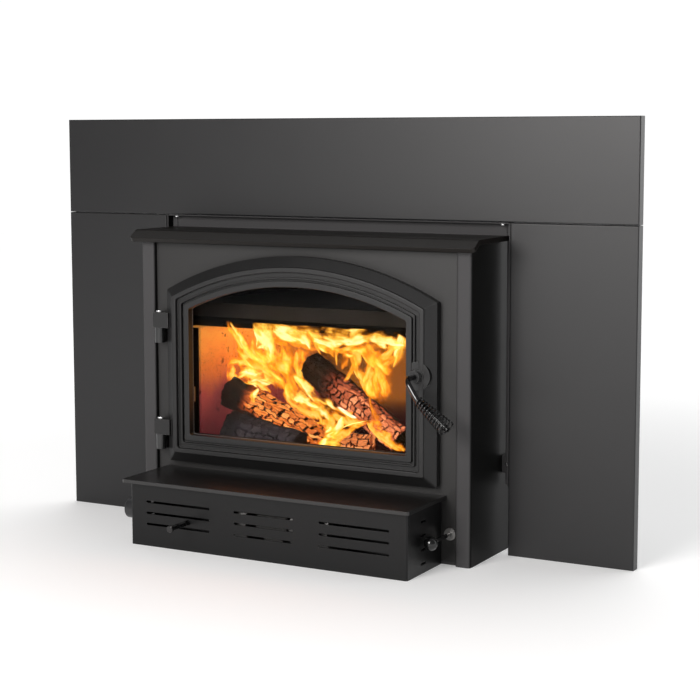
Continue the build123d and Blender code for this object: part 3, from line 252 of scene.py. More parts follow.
def makeCharBlocks(settings):
    # burnt wood shrunk into blocks: crack mask, a tone for each block, fibres and a height
    group, given, made = newGroup("charBlocks", ("Vector", "Across", "Along", "Crack Width"),
                                  ("Block", "Tone", "Fibre", "Height"))
    vector = given["Vector"]
    spot = axes(group, vector)
    slow = centred(group, noiseTexture(group, vector, settings["slowScale"]))
    fine = centred(group, noiseTexture(group, vector, settings["fineScale"], detail=3.0))
    waver = mathNode(group, "ADD", times(group, slow, settings["slowWaver"]),
                     times(group, fine, settings["fineWaver"]))
    across = times(group, mathNode(group, "ADD", spot[0], waver), given["Across"])
    along = times(group, mathNode(group, "SUBTRACT", spot[1], waver), given["Along"])
    laid = newNode(group, "CombineXYZ", X=along, Y=across).outputs[0]
    bricks = newNode(group, "TexBrick", Vector=laid, Scale=1.0, Brick_Width=1.0,
                     Row_Height=1.0, Mortar_Size=given["Crack Width"], Mortar_Smooth=0.7,
                     Color1=(0.0, 0.0, 0.0), Color2=(1.0, 1.0, 1.0))
    bricks.offset = 0.37
    bricks.squash = 0.6
    bricks.squash_frequency = 3
    # some cracks stay closed
    closed = noiseTexture(group, vector, settings["closedScale"])
    crack = times(group, bricks.outputs["Fac"], remap(group, closed, 0.36, 0.5))
    block = mathNode(group, "SUBTRACT", 1.0, crack, clamp=True)
    tone = newNode(group, "SeparateColor", Color=bricks.outputs["Color"]).outputs[0]
    stretched = newNode(group, "CombineXYZ", X=times(group, spot[0], settings["fibreAcross"]),
                        Y=times(group, spot[1], settings["fibreAlong"])).outputs[0]
    fibre = noiseTexture(group, stretched, 1.0, detail=3.0, roughness=0.65)
    fill(group, made, Block=block, Tone=tone, Fibre=fibre,
         Height=mathNode(group, "MULTIPLY_ADD", fibre, 0.25, block))
    return group


flameGrain = {"driftScale": 42.0, "streakScale": 170.0, "foldScale": 62.0, "border": 0.1,
              "ends": 0.16, "endsDrift": 0.5, "endStop": 0.05, "crease": 0.22}


def makeFlameBody(settings):
    # one tongue of flame: soft wandering edges, streaks and folds along it, faded ends;
    # shape runs from 0 to 1 across and along the tongue, flow does so in metres
    group, given, made = newGroup("flameBody", ("Shape", "Flow", "Softness", "Wander"),
                                  ("Heat", "Cover"))
    flow, soft = given["Flow"], given["Softness"]
    shape = axes(group, given["Shape"])
    drift = centred(group, noiseTexture(group, placed(group, flow, scale=(1.0, 0.7, 1.0)),
                                        settings["driftScale"], detail=3.0))
    across = mathNode(group, "ADD", shape[0], times(group, drift, given["Wander"]))
    firm = remap(group, across, 0.04, times(group, soft, 0.5))
    gone = remap(group, across, 0.98, mathNode(group, "SUBTRACT", 1.0, soft))
    edge = times(group, times(group, firm, gone), fadeEnds(group, shape[0], settings["border"]))
    along = mathNode(group, "MULTIPLY_ADD", drift, settings["endsDrift"], shape[1])
    ends = times(group, fadeEnds(group, along, settings["ends"]),
                 fadeEnds(group, shape[1], settings["endStop"]))
    streaks = noiseTexture(group, placed(group, flow, scale=(1.0, 0.13, 1.0)),
                           settings["streakScale"])
    folds = noiseTexture(group, placed(group, flow, scale=(1.0, 0.34, 1.0)),
                         settings["foldScale"], distortion=0.6)
    fromCrease = mathNode(group, "ABSOLUTE", mathNode(group, "SUBTRACT", folds, 0.52))
    crease = remap(group, fromCrease, 0.05, 0.0)
    veil = mathNode(group, "ADD", remap(group, folds, 0.36, 0.64, 0.3, 0.8),
                    remap(group, streaks, 0.34, 0.66, 0.0, 0.2))
    gain = mathNode(group, "MULTIPLY_ADD", crease, settings["crease"], veil)
    heat = times(group, edge, gain)
    fill(group, made, Heat=times(group, heat, ends),
         Cover=times(group, remap(group, heat, 0.02, 0.5), ends))
    return group


paintGrain = makePaintGrain()
edgeCatch = makeEdgeCatch()
charBlocks = makeCharBlocks(charGrain)
flameBody = makeFlameBody(flameGrain)
print("shared effects ready")


# paints, metals and linings

# what a finish has unless it says otherwise
solidShared = {"metallic": 0.0, "shine": 0.5, "coat": 0.0, "coatRoughness": 0.1, "spread": 0.08,
               "grainScale": 1100.0, "speckle": 0.4, "mottle": 0.16, "bump": 0.2,
               "bumpDepth": 0.0004, "edgeRadius": 0.0016, "edgeReach": 0.35}

paintLooks = {
    "surroundPaint": {"color": (0.0058, 0.0056, 0.0062), "roughness": 0.42, "spread": 0.05,
        "grainScale": 1400.0, "speckle": 0.5, "mottleScale": 5.0, "mottle": 0.12, "bump": 0.12,
        "edgeRadius": 0.0012, "edgeHighlightShow": 0.5, "edgeHighlightColor": (0.07, 0.07, 0.072)},
    "platePaint": {"color": (0.0125, 0.0119, 0.0115), "roughness": 0.48, "shine": 0.45,
        "speckle": 0.5, "mottleScale": 8.0, "edgeHighlightShow": 0.35, "edgeHighlightColor": (0.06, 0.058, 0.055)},
    # a darker copy of the casing paint: painted shade on the sides, back, top and strips, with a
    # painted lighter colour on faces turned to the room
    "sidePaint": {"color": (0.0035, 0.0034, 0.0033), "roughness": 0.5, "spread": 0.06,
        "shine": 0.12, "mottleScale": 8.0, "edgeHighlightShow": 0.2, "edgeHighlightColor": (0.03, 0.029, 0.028),
        "frontLitColor": (0.052, 0.0508, 0.052)},
    "topPaint": {"color": (0.0062, 0.0049, 0.004), "roughness": 0.34, "spread": 0.06, "shine": 0.22,
        "mottleScale": 7.0, "mottle": 0.25, "bump": 0.18, "edgeRadius": 0.002, "edgeHighlightShow": 0.3,
        "edgeHighlightColor": (0.05, 0.047, 0.043)},
    "castPaint": {"color": (0.0085, 0.0083, 0.0084), "roughness": 0.44, "spread": 0.12,
        "shine": 0.42, "grainScale": 700.0, "speckle": 0.6, "mottleScale": 14.0, "mottle": 0.2,
        "bump": 0.4, "edgeRadius": 0.0011, "edgeHighlightShow": 0.85, "edgeHighlightColor": (0.22, 0.217, 0.212)},
    "boxPaint": {"color": (0.0042, 0.0042, 0.0044), "roughness": 0.34, "shine": 0.3,
        "grainScale": 1200.0, "mottleScale": 6.0, "bump": 0.16, "edgeRadius": 0.0014,
        "edgeHighlightShow": 0.4, "edgeHighlightColor": (0.05, 0.05, 0.051)},
    "shelfPaint": {"color": (0.007, 0.0065, 0.0065), "roughness": 0.3, "grainScale": 900.0,
        "speckle": 0.3, "mottleScale": 9.0, "mottle": 0.2, "bump": 0.1, "edgeHighlightShow": 0.4,
        "edgeHighlightColor": (0.06, 0.058, 0.055), "coat": 0.3, "coatRoughness": 0.22},
    "innerPaint": {"color": (0.02, 0.0135, 0.01), "roughness": 0.7, "spread": 0.15, "shine": 0.3,
        "grainScale": 500.0, "speckle": 0.6, "mottleScale": 12.0, "mottle": 0.7, "bump": 0.4,
        "edgeRadius": 0.0012, "edgeHighlightShow": 0.2, "edgeHighlightColor": (0.05, 0.035, 0.025)},
    "sootPaint": {"color": (0.0018, 0.0013, 0.001), "roughness": 0.8, "spread": 0.15, "shine": 0.05,
        "grainScale": 500.0, "speckle": 0.6, "mottleScale": 10.0, "mottle": 0.8, "bump": 0.4,
        "edgeRadius": 0.0012, "edgeHighlightShow": 0.15, "edgeHighlightColor": (0.03, 0.022, 0.016)},
    "springPaint": {"color": (0.0022, 0.0022, 0.0023), "roughness": 0.2, "grainScale": 900.0,
        "speckle": 0.2, "mottleScale": 20.0, "mottle": 0.2, "bump": 0.05, "edgeRadius": 0.0005,
        "edgeHighlightShow": 0.1, "edgeHighlightColor": (0.06, 0.06, 0.06), "coat": 0.3, "coatRoughness": 0.08},
    "blackPlastic": {"color": (0.018, 0.018, 0.019), "roughness": 0.36, "spread": 0.12,
        "grainScale": 800.0, "speckle": 0.15, "mottleScale": 30.0, "mottle": 0.15, "bump": 0.1,
        "bumpDepth": 0.0003, "edgeRadius": 0.0008, "edgeReach": 0.4, "edgeHighlightShow": 0.2,
        "edgeHighlightColor": (0.08, 0.08, 0.08)},
}
metalShared = {**solidShared, "metallic": 1.0, "spread": 0.2, "speckle": 0.25,
               "mottleScale": 18.0, "mottle": 0.25, "bump": 0.1, "bumpDepth": 0.0003,
               "edgeRadius": 0.0005, "edgeReach": 0.4}
metalLooks = {
    "bareSteel": {"color": (0.42, 0.41, 0.4), "roughness": 0.38, "grainScale": 600.0},
    "brightSteel": {"color": (0.8, 0.8, 0.8), "roughness": 0.22, "grainScale": 500.0},
    "darkSteel": {"color": (0.2, 0.195, 0.19), "roughness": 0.42, "grainScale": 600.0},
}


def solidLook(name, settings):
    # a paint, plastic or bare metal; frontLitColor is a lighter colour painted on what faces the
    # room, a painted highlight
    material, tree, shader = newMaterial(
        name, Metallic=settings["metallic"], Specular_IOR_Level=settings["shine"],
        Coat_Weight=settings["coat"], Coat_Roughness=settings["coatRoughness"])
    grain = useGroup(tree, paintGrain, Color=settings["color"],
                     Grain_Scale=settings["grainScale"], Speckle=settings["speckle"],
                     Mottle_Scale=settings["mottleScale"], Mottle=settings["mottle"],
                     Roughness=settings["roughness"], Roughness_Spread=settings["spread"])
    edge = useGroup(tree, edgeCatch, Radius=settings["edgeRadius"], Reach=settings["edgeReach"])
    body = grain["Color"]
    # painted light: faces turned to the room take a lighter colour
    if "frontLitColor" in settings:
        forward = remap(tree, axes(tree, surfaceNormal(tree))[1], -0.5, -0.9)
        body = mixColor(tree, forward, body, settings["frontLitColor"])
    # painted highlight: the edges take a lighter colour than the paint
    if "edgeHighlightColor" in settings:
        shown = times(tree, edge["Edge"], settings["edgeHighlightShow"])
        body = mixColor(tree, shown, body, settings["edgeHighlightColor"])
    fill(tree, shader, Base_Color=body, Roughness=grain["Roughness"])
    addBump(tree, shader, grain["Height"], settings["bump"], settings["bumpDepth"],
            edge["Normal"])
    return material


# the colours are painted fire light, running from the hearth, low, up to the air tubes, high
brickSettings = {
    "low": 0.128, "high": 0.36, "patchScale": 16.0, "patchRise": 0.07, "poreScale": 210.0,
    "poreTone": 0.35, "chipScale": 55.0, "grainScale": 420.0, "glow": 0.55, "bump": 0.5,
    "colors": [(0.0, (0.05, 0.012, 0.012)), (0.22, (0.17, 0.028, 0.033)),
               (0.45, (0.3, 0.055, 0.05)), (0.68, (0.6, 0.18, 0.035)),
               (0.9, (0.85, 0.35, 0.06)), (1.0, (0.6, 0.24, 0.05))],
}
# firebrick is the copy painted as lit by the fire; sootedBrick is a copy with painted shade, at
# 0.22 of its tone and glowing as little
brickTones = {"firebrick": 1.0, "sootedBrick": 0.22}


def firebrick(name, tone, settings):
    # pale brick with the fire's light painted on it: mauve and dark at the hearth, amber higher up;
    # it glows with that colour as painted light
    material, tree, shader = newMaterial(name, Metallic=0.0, Specular_IOR_Level=0.2,
                                         Emission_Strength=settings["glow"])
    coords = objectCoords(tree)
    patches = noiseTexture(tree, coords, settings["patchScale"], detail=5.0, roughness=0.6)
    height = mathNode(tree, "MULTIPLY_ADD", centred(tree, patches), settings["patchRise"],
                      axes(tree, coords)[2])
    paintedFireLight = colorRamp(tree, remap(tree, height, settings["low"], settings["high"],
                                  smooth=False), settings["colors"])
    pores = newNode(tree, "TexVoronoi", Vector=coords, Scale=settings["poreScale"])
    specks = remap(tree, pores.outputs["Distance"], 0.12, 0.3)
    chips = noiseTexture(tree, coords, settings["chipScale"], detail=3.0)
    holes = times(tree, specks, remap(tree, chips, 0.28, 0.36))
    grain = noiseTexture(tree, coords, settings["grainScale"], detail=3.0)
    shade = times(tree, remap(tree, holes, 0.0, 1.0, settings["poreTone"] * tone, tone),
                  remap(tree, grain, 0.2, 0.8, 0.8, 1.1))
    color = vectorMath(tree, "SCALE", paintedFireLight, shade)
    fill(tree, shader, Base_Color=color, Emission_Color=color,
         Roughness=remap(tree, patches, 0.2, 0.8, 0.75, 0.95))
    addBump(tree, shader, mathNode(tree, "MULTIPLY_ADD", grain, 0.5, holes), settings["bump"])
    return material


ropeSettings = {"turn": (0.6, 0.0, 0.8), "twistScale": 120.0, "twistWaver": 3.0,
                "fluffScale": 900.0, "fluff": 0.3, "sheen": 0.3, "bump": 0.6, "bumpDepth": 0.0008,
                "colors": ((0.05, 0.05, 0.052), (0.12, 0.12, 0.12))}


def ropeFibre(name, settings):
    material, tree, shader = newMaterial(name, Metallic=0.0, Sheen_Weight=settings["sheen"])
    coords = objectCoords(tree)
    twist = newNode(tree, "TexWave", Vector=placed(tree, coords, turn=settings["turn"]),
                    Scale=settings["twistScale"],
                    Distortion=settings["twistWaver"]).outputs["Fac"]
    fluff = noiseTexture(tree, coords, settings["fluffScale"], detail=3.0)
    fill(tree, shader, Roughness=remap(tree, fluff, 0.0, 1.0, 0.8, 0.95),
         Base_Color=mixColor(tree, twist, *settings["colors"]))
    height = mathNode(tree, "MULTIPLY_ADD", fluff, settings["fluff"], twist)
    addBump(tree, shader, height, settings["bump"], settings["bumpDepth"])
    return material


boardSettings = {"fibreScale": 180.0, "fibreStretch": (1, 1, 6), "sootScale": 7.0, "bump": 0.4,
                 "colors": ((0.0025, 0.0018, 0.0015), (0.011, 0.0075, 0.0055))}


def fibreBoard(name, settings):
    material, tree, shader = newMaterial(name, Metallic=0.0)
    coords = objectCoords(tree)
    fibres = noiseTexture(tree, placed(tree, coords, scale=settings["fibreStretch"]),
                          settings["fibreScale"], detail=4.0)
    soot = noiseTexture(tree, coords, settings["sootScale"], detail=4.0)
    fill(tree, shader, Roughness=remap(tree, fibres, 0.0, 1.0, 0.85, 0.98),
         Base_Color=mixColor(tree, soot, *settings["colors"]))
    addBump(tree, shader, fibres, settings["bump"])
    return material


glassSettings = {"hazeScale": 5.0, "bend": 1.1, "blur": 0.012,
                 "colors": ((0.93, 0.9, 0.86), (0.99, 0.98, 0.96))}


def windowGlass(name, settings):
    # ceramic glass with a faint, uneven smoke tint
    material, tree, shader = newMaterial(name, Metallic=0.0, Transmission_Weight=1.0,
                                         IOR=settings["bend"])
    haze = noiseTexture(tree, objectCoords(tree), settings["hazeScale"], detail=5.0,
                        roughness=0.6)
    fill(tree, shader, Roughness=remap(tree, haze, 0.3, 0.8, 0.0, settings["blur"]),
         Base_Color=mixColor(tree, haze, *settings["colors"]))
    return material


looks = {}
for shared, group in ((solidShared, paintLooks), (metalShared, metalLooks)):
    for name, settings in group.items():
        looks[name] = solidLook(name, {**shared, **settings})
for name, tone in brickTones.items():
    looks[name] = firebrick(name, tone, brickSettings)
for name, makeLook, settings in (("ropeFibre", ropeFibre, ropeSettings),
                                 ("fibreBoard", fibreBoard, boardSettings),
                                 ("windowGlass", windowGlass, glassSettings)):
    looks[name] = makeLook(name, settings)

nodeLooks = {
    "surroundPaint": ("surround_top_panel", "surround_left_panel", "surround_right_panel"),
    "platePaint": ("front_plate", "flue_collar"),
    "sidePaint": ("casing_left_side", "casing_right_side", "casing_back", "casing_top",
                  "base_plate", "surround_brackets"),
    "topPaint": ("top_plate",),
    "castPaint": ("door_frame", "handle_collars"),
    "boxPaint": ("louvre_panel", "blower_box"),
    "shelfPaint": ("ash_shelf",),
    "innerPaint": ("firebox_floor", "firebox_skids", "brick_retainers", "log_stop",
                   "air_boxes"),
    "sootPaint": ("air_tubes", "firebox_left_side", "firebox_right_side", "firebox_back",
                  "firebox_top", "air_wash_deflector"),
    "springPaint": ("handle_coil", "handle_rod", "front_air_rod", "side_air_rod",
                    "hinge_barrels"),
    "bareSteel": ("surround_bolts", "latch_catch", "latch_cam", "cam_nut", "glass_clips",
                  "clip_screws", "blower_scrolls", "blower_wheels", "blower_shaft",
                  "motor_bracket", "rod_guides", "heat_switch"),
    "brightSteel": ("surround_screws", "hinge_pins"),
    "darkSteel": ("blower_motor",),
    "firebrick": ("left_bricks",),
    "sootedBrick": ("floor_bricks", "right_bricks", "back_bricks"),
    "ropeFibre": ("door_rope", "glass_gasket"),
    "fibreBoard": ("baffle_board",),
    "windowGlass": ("door_glass",),
    "blackPlastic": ("speed_knob", "speed_control", "cord_bush"),
}
for look, names in nodeLooks.items():
    for name in names:
        nodes[name].data.materials.clear()
        nodes[name].data.materials.append(looks[look])
print("finishes on the solids")


# burnt logs

def charMaterial(name, settings):
    # charred wood: shrunken blocks with dark cracks; the blocks glow as embers, and the glow is
    # stronger on the sides turned to the flames, painted fire light
    material, tree, shader = newMaterial(name, Metallic=0.0, Specular_IOR_Level=0.25,
                                         Emission_Strength=settings["strength"])
    uv = uvCoords(tree)
    blocks = useGroup(tree, charBlocks, Vector=uv, Across=settings["across"],
                      Along=settings["along"], Crack_Width=settings["crack"])
    ash = mixColor(tree, blocks["Tone"], settings["charColor"], settings["ashColor"])
    fill(tree, shader, Base_Color=mixColor(tree, blocks["Block"], (0.003, 0.0022, 0.002), ash),
         Roughness=remap(tree, blocks["Fibre"], 0.2, 0.8, 0.7, 0.95))
    burnt = noiseTexture(tree, objectCoords(tree), settings["patchScale"], detail=3.0)
    patch = remap(tree, burnt, *settings["hotPatch"])
    toFire = tuple(Vector(settings["facing"]).normalized())
    # painted light: the sides turned towards facing glow more
    facing = vectorMath(tree, "DOT_PRODUCT", surfaceNormal(tree), toFire)
    begun = mathNode(tree, "MULTIPLY_ADD", burnt, 0.05, axes(tree, uv)[1])
    emberAndFireLight = times(tree, times(tree, patch, remap(tree, facing, *settings["facingRange"])),
                remap(tree, begun, *settings["coldEnd"]))
    grain = remap(tree, blocks["Fibre"], 0.3, 0.62, 0.45, 1.0)
    tone = remap(tree, blocks["Tone"], 0.0, 1.0, 0.6, 1.0)
    lit = times(tree, blocks["Block"], times(tree, grain, tone))
    fill(tree, shader,
         Emission_Color=colorRamp(tree, times(tree, lit, emberAndFireLight), settings["glow"]))
    addBump(tree, shader, blocks["Height"], 0.9, 0.003)
    return material


# facing points where the painted fire light comes from, and the sides turned that way glow more;
# coldEnd is where along the log, in metres, the glow begins
charLooks = {
    "orangeChar": {"glow": [(0.0, (0.003, 0.001, 0.0)), (0.2, (0.16, 0.022, 0.004)),
        (0.45, (0.62, 0.12, 0.015)), (0.7, (0.95, 0.28, 0.045)), (1.0, (1.0, 0.5, 0.14))],
        "strength": 1.1, "across": 120.0, "along": 30.0, "crack": 0.12, "patchScale": 9.0,
        "hotPatch": (0.2, 0.45), "facing": (0.15, -0.45, 0.9), "facingRange": (-0.25, 0.6),
        "coldEnd": (0.058, 0.085), "charColor": (0.008, 0.005, 0.004),
        "ashColor": (0.022, 0.012, 0.009)},
    "roseChar": {"glow": [(0.0, (0.003, 0.001, 0.0)), (0.2, (0.13, 0.02, 0.008)),
        (0.45, (0.5, 0.105, 0.04)), (0.7, (0.88, 0.26, 0.1)), (1.0, (1.0, 0.46, 0.21))],
        "strength": 1.1, "across": 80.0, "along": 52.0, "crack": 0.13, "patchScale": 8.0,
        "hotPatch": (0.2, 0.42), "facing": (-0.2, -0.75, 0.35), "facingRange": (0.05, 0.8),
        "coldEnd": (0.07, 0.16), "charColor": (0.008, 0.005, 0.004),
        "ashColor": (0.02, 0.012, 0.01)},
    "blackChar": {"glow": [(0.0, (0.0, 0.0, 0.0)), (0.5, (0.1, 0.015, 0.003)),
        (1.0, (0.8, 0.25, 0.06))], "strength": 0.7, "across": 80.0, "along": 50.0, "crack": 0.12,
        "patchScale": 40.0, "hotPatch": (0.58, 0.7), "facing": (0.1, -0.6, 0.6),
        "facingRange": (-0.2, 0.6), "coldEnd": (-0.1, 0.0), "charColor": (0.009, 0.007, 0.006),
        "ashColor": (0.05, 0.042, 0.04)},
    # grey glow: painted light on the coal's side turned to the door
    "greyChar": {"glow": [(0.0, (0.002, 0.0012, 0.0014)), (0.4, (0.024, 0.018, 0.022)),
        (1.0, (0.085, 0.066, 0.072))], "strength": 0.8, "across": 50.0, "along": 55.0, "crack": 0.1,
        "patchScale": 20.0, "hotPatch": (0.25, 0.5), "facing": (0.1, -0.9, 0.1),
        "facingRange": (0.1, 0.7), "coldEnd": (0.03, 0.08), "charColor": (0.004, 0.0035, 0.004),
        "ashColor": (0.013, 0.0115, 0.013)},
    "emberChar": {"glow": [(0.0, (0.02, 0.004, 0.001)), (0.25, (0.3, 0.05, 0.012)),
        (0.6, (0.85, 0.25, 0.07)), (1.0, (1.0, 0.5, 0.2))], "strength": 1.0, "across": 70.0,
        "along": 60.0, "crack": 0.13, "patchScale": 14.0, "hotPatch": (0.2, 0.45),
        "facing": (0.1, -0.6, 0.6), "facingRange": (-0.4, 0.5), "coldEnd": (-0.1, 0.0),
        "charColor": (0.02, 0.01, 0.006), "ashColor": (0.08, 0.04, 0.03)},
}
charMaterials = {name: charMaterial(name, settings) for name, settings in charLooks.items()}

# start and end of each log's axis in metres, its radius and look, and the narrowing of its end;
# rough is how far its surface is broken up
logPieces = {
    "logFront": {"start": (-0.226, 0.01, 0.236), "end": (-0.02, 0.02, 0.1515), "radius": 0.03,
                 "look": "orangeChar", "seed": 3, "taper": 0.08},
    "logBack": {"start": (-0.134, 0.15, 0.27), "end": (0.084, 0.1, 0.1528), "radius": 0.0285,
                "look": "roseChar", "seed": 8, "taper": 0.08},
    "logUnder": {"start": (-0.042, 0.062, 0.1558), "end": (-0.042, 0.226, 0.1558),
                 "radius": 0.027, "look": "blackChar", "rough": 0.003, "seed": 12, "taper": 0.05},
    "coalFront": {"start": (-0.188, -0.047, 0.177), "end": (-0.046, -0.045, 0.156),
                  "radius": 0.033, "look": "greyChar", "seed": 21, "taper": 0.16},
    "coalLow": {"start": (-0.206, -0.052, 0.14), "end": (-0.13, -0.058, 0.139), "radius": 0.011,
                "look": "blackChar", "rough": 0.003, "seed": 41, "taper": 0.05},
    "coalStanding": {"start": (-0.203, 0.014, 0.1285), "end": (-0.203, 0.014, 0.181),
                     "radius": 0.0195, "look": "blackChar", "seed": 27, "taper": 0.04},
    "coalRight": {"start": (0.02, -0.006, 0.1543), "end": (0.072, 0.006, 0.1543),
                  "radius": 0.0245, "look": "emberChar", "seed": 33, "taper": 0.04},
}
logShape = {"around": 56, "along": 60, "corners": 7, "cornerRange": (0.9, 1.04), "facet": 0.06,
            "rough": 0.004, "bumpScale": 34, "bumps": 0.8, "chipsAround": 4.5, "chipsAlong": 40,
            "chips": 0.5, "raggedScale": 1.5, "ragged": 0.006, "dentScale": 90, "dent": 0.004,
            "hollow": 0.003}


def makeLog(name, settings, shape, body):
    # a split log: a tube of rings along its axis with a rough many-sided section and broken ends
    start, end = Vector(settings["start"]), Vector(settings["end"])
    axis = (end - start).normalized()
    side = axis.cross(Vector((0, 1, 0))).normalized()
    up = axis.cross(side)
    length = (end - start).length
    seed, around, along = settings["seed"], shape["around"], shape["along"]
    rough = settings.get("rough", shape["rough"])
    mesh = bmesh.new()
    random.seed(seed)
    corners = [random.uniform(*shape["cornerRange"]) for _ in range(shape["corners"])]
    rings = []
    for step in range(along + 1):
        share = step / along
        ring = []
        for spot in range(around):
            angle = 2 * math.pi * spot / around
            spoke = side * math.cos(angle) + up * math.sin(angle)
            place = spot / around * len(corners)
            low = int(place) % len(corners)
            blend = place - int(place)
            corner = corners[low] * (1 - blend) + corners[(low + 1) % len(corners)] * blend
            facet = 1 - shape["facet"] * math.cos(math.pi * (blend - 0.5)) ** 2
            radius = settings["radius"] * corner * facet * (1 - settings["taper"] * share)
            center = start + axis * (share * length)
            point = center + spoke * radius
            bumps = noise.fractal(point * shape["bumpScale"] + Vector((seed,) * 3), 0.9, 2.1, 4)
            chipSpot = (angle * shape["chipsAround"], share * length * shape["chipsAlong"], seed)
            chips = noise.cell_vector(Vector(chipSpot))[0] - 0.5
            radius += rough * (bumps * shape["bumps"] + chips * shape["chips"])
            if step in (0, along):
                endSpot = Vector((angle * shape["raggedScale"], seed, share))
                center += axis * (noise.fractal(endSpot, 0.8, 2.0, 3) * shape["ragged"])
            ring.append(mesh.verts.new(center + spoke * radius))
        rings.append(ring)
    girth = 2 * math.pi * settings["radius"]
    weave(mesh, [ring + ring[:1] for ring in rings],
          {"UVMap": lambda step, spot: (spot / around * girth, step / along * length)})
    uvLayer = mesh.loops.layers.uv["UVMap"]
    for ring, flip in ((rings[0], True), (rings[-1], False)):
        middle = sum((vert.co for vert in ring), Vector()) / len(ring)
        inner = []
        for vert in ring:
            dent = axis * (shape["dent"] * noise.noise(vert.co * shape["dentScale"]))
            inner.append(mesh.verts.new(middle + (vert.co - middle) * 0.5 + dent))
        hub = mesh.verts.new(middle + axis * (shape["hollow"] if flip else -shape["hollow"]))
        for spot in range(around):
            nextSpot = (spot + 1) % around
            quad = (ring[spot], ring[nextSpot], inner[nextSpot], inner[spot])
            tri = (inner[spot], inner[nextSpot], hub)
            for faceCorners in (quad, tri):
                face = mesh.faces.new(tuple(reversed(faceCorners)) if flip else faceCorners)
                for loop in face.loops:
                    offset = loop.vert.co - middle
                    loop[uvLayer].uv = (offset.dot(side) * 0.5, offset.dot(up) * 0.5)
    mesh.normal_update()
    piece = meshObject(name, mesh, charMaterials[settings["look"]])
    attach(piece, body)
    return piece


logs = [makeLog(name, settings, logShape, "insert") for name, settings in logPieces.items()]
for piece in logs:
    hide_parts("logs")
print("logs:", len(logs))


# flames

def glowingMaterial(name, strength):
    # only gives off light, so that pieces that overlap add up
    return newMaterial(name, Metallic=0.0, Roughness=1.0, Base_Color=(0.0, 0.0, 0.0),
                       Specular_IOR_Level=0.0, Emission_Strength=strength)


def flameMaterial(name, settings):
    material, tree, shader = glowingMaterial(name, settings["strength"])
    body = useGroup(tree, flameBody, Shape=uvCoords(tree, "shape"), Flow=uvCoords(tree, "flow"),
                    Softness=settings["softness"], Wander=settings["wander"])
    fill(tree, shader, Emission_Color=colorRamp(tree, body["Heat"], settings["glow"]),
         Alpha=times(tree, body["Cover"], settings["cover"]))
    return material


flameLooks = {
    "white": {"glow": [(0.0, (0.8, 0.17, 0.006)), (0.22, (1.0, 0.36, 0.02)),
        (0.45, (1.0, 0.56, 0.07)), (0.7, (1.0, 0.76, 0.26)), (0.95, (1.0, 0.88, 0.42))],
        "strength": 2.0, "softness": 0.7, "wander": 1.3, "cover": 0.66},
    "gold": {"glow": [(0.0, (0.5, 0.08, 0.003)), (0.25, (0.85, 0.2, 0.006)),
        (0.5, (1.0, 0.35, 0.015)), (0.75, (1.0, 0.52, 0.06)), (1.0, (1.0, 0.68, 0.16))],
        "strength": 2.1, "softness": 0.7, "wander": 1.5, "cover": 0.54},
    "smoke": {"glow": [(0.0, (0.06, 0.014, 0.003)), (0.5, (0.2, 0.05, 0.006)),
        (1.0, (0.5, 0.16, 0.015))], "strength": 0.8, "softness": 0.8, "wander": 0.6, "cover": 0.7},
    "spark": {"glow": [(0.0, (1.0, 0.45, 0.12)), (0.4, (1.0, 0.8, 0.5)), (1.0, (1.0, 0.98, 0.85))],
        "strength": 1.8, "softness": 0.4, "wander": 0.3, "cover": 1.0},
    "amber": {"glow": [(0.0, (0.4, 0.06, 0.002)), (0.4, (0.7, 0.16, 0.005)),
        (0.75, (0.95, 0.3, 0.012)), (1.0, (1.0, 0.42, 0.03))], "strength": 1.3, "softness": 0.85,
        "wander": 1.2, "cover": 0.75},
}
flameMaterials = {name: flameMaterial("flame" + name.capitalize(), settings)
                  for name, settings in flameLooks.items()}

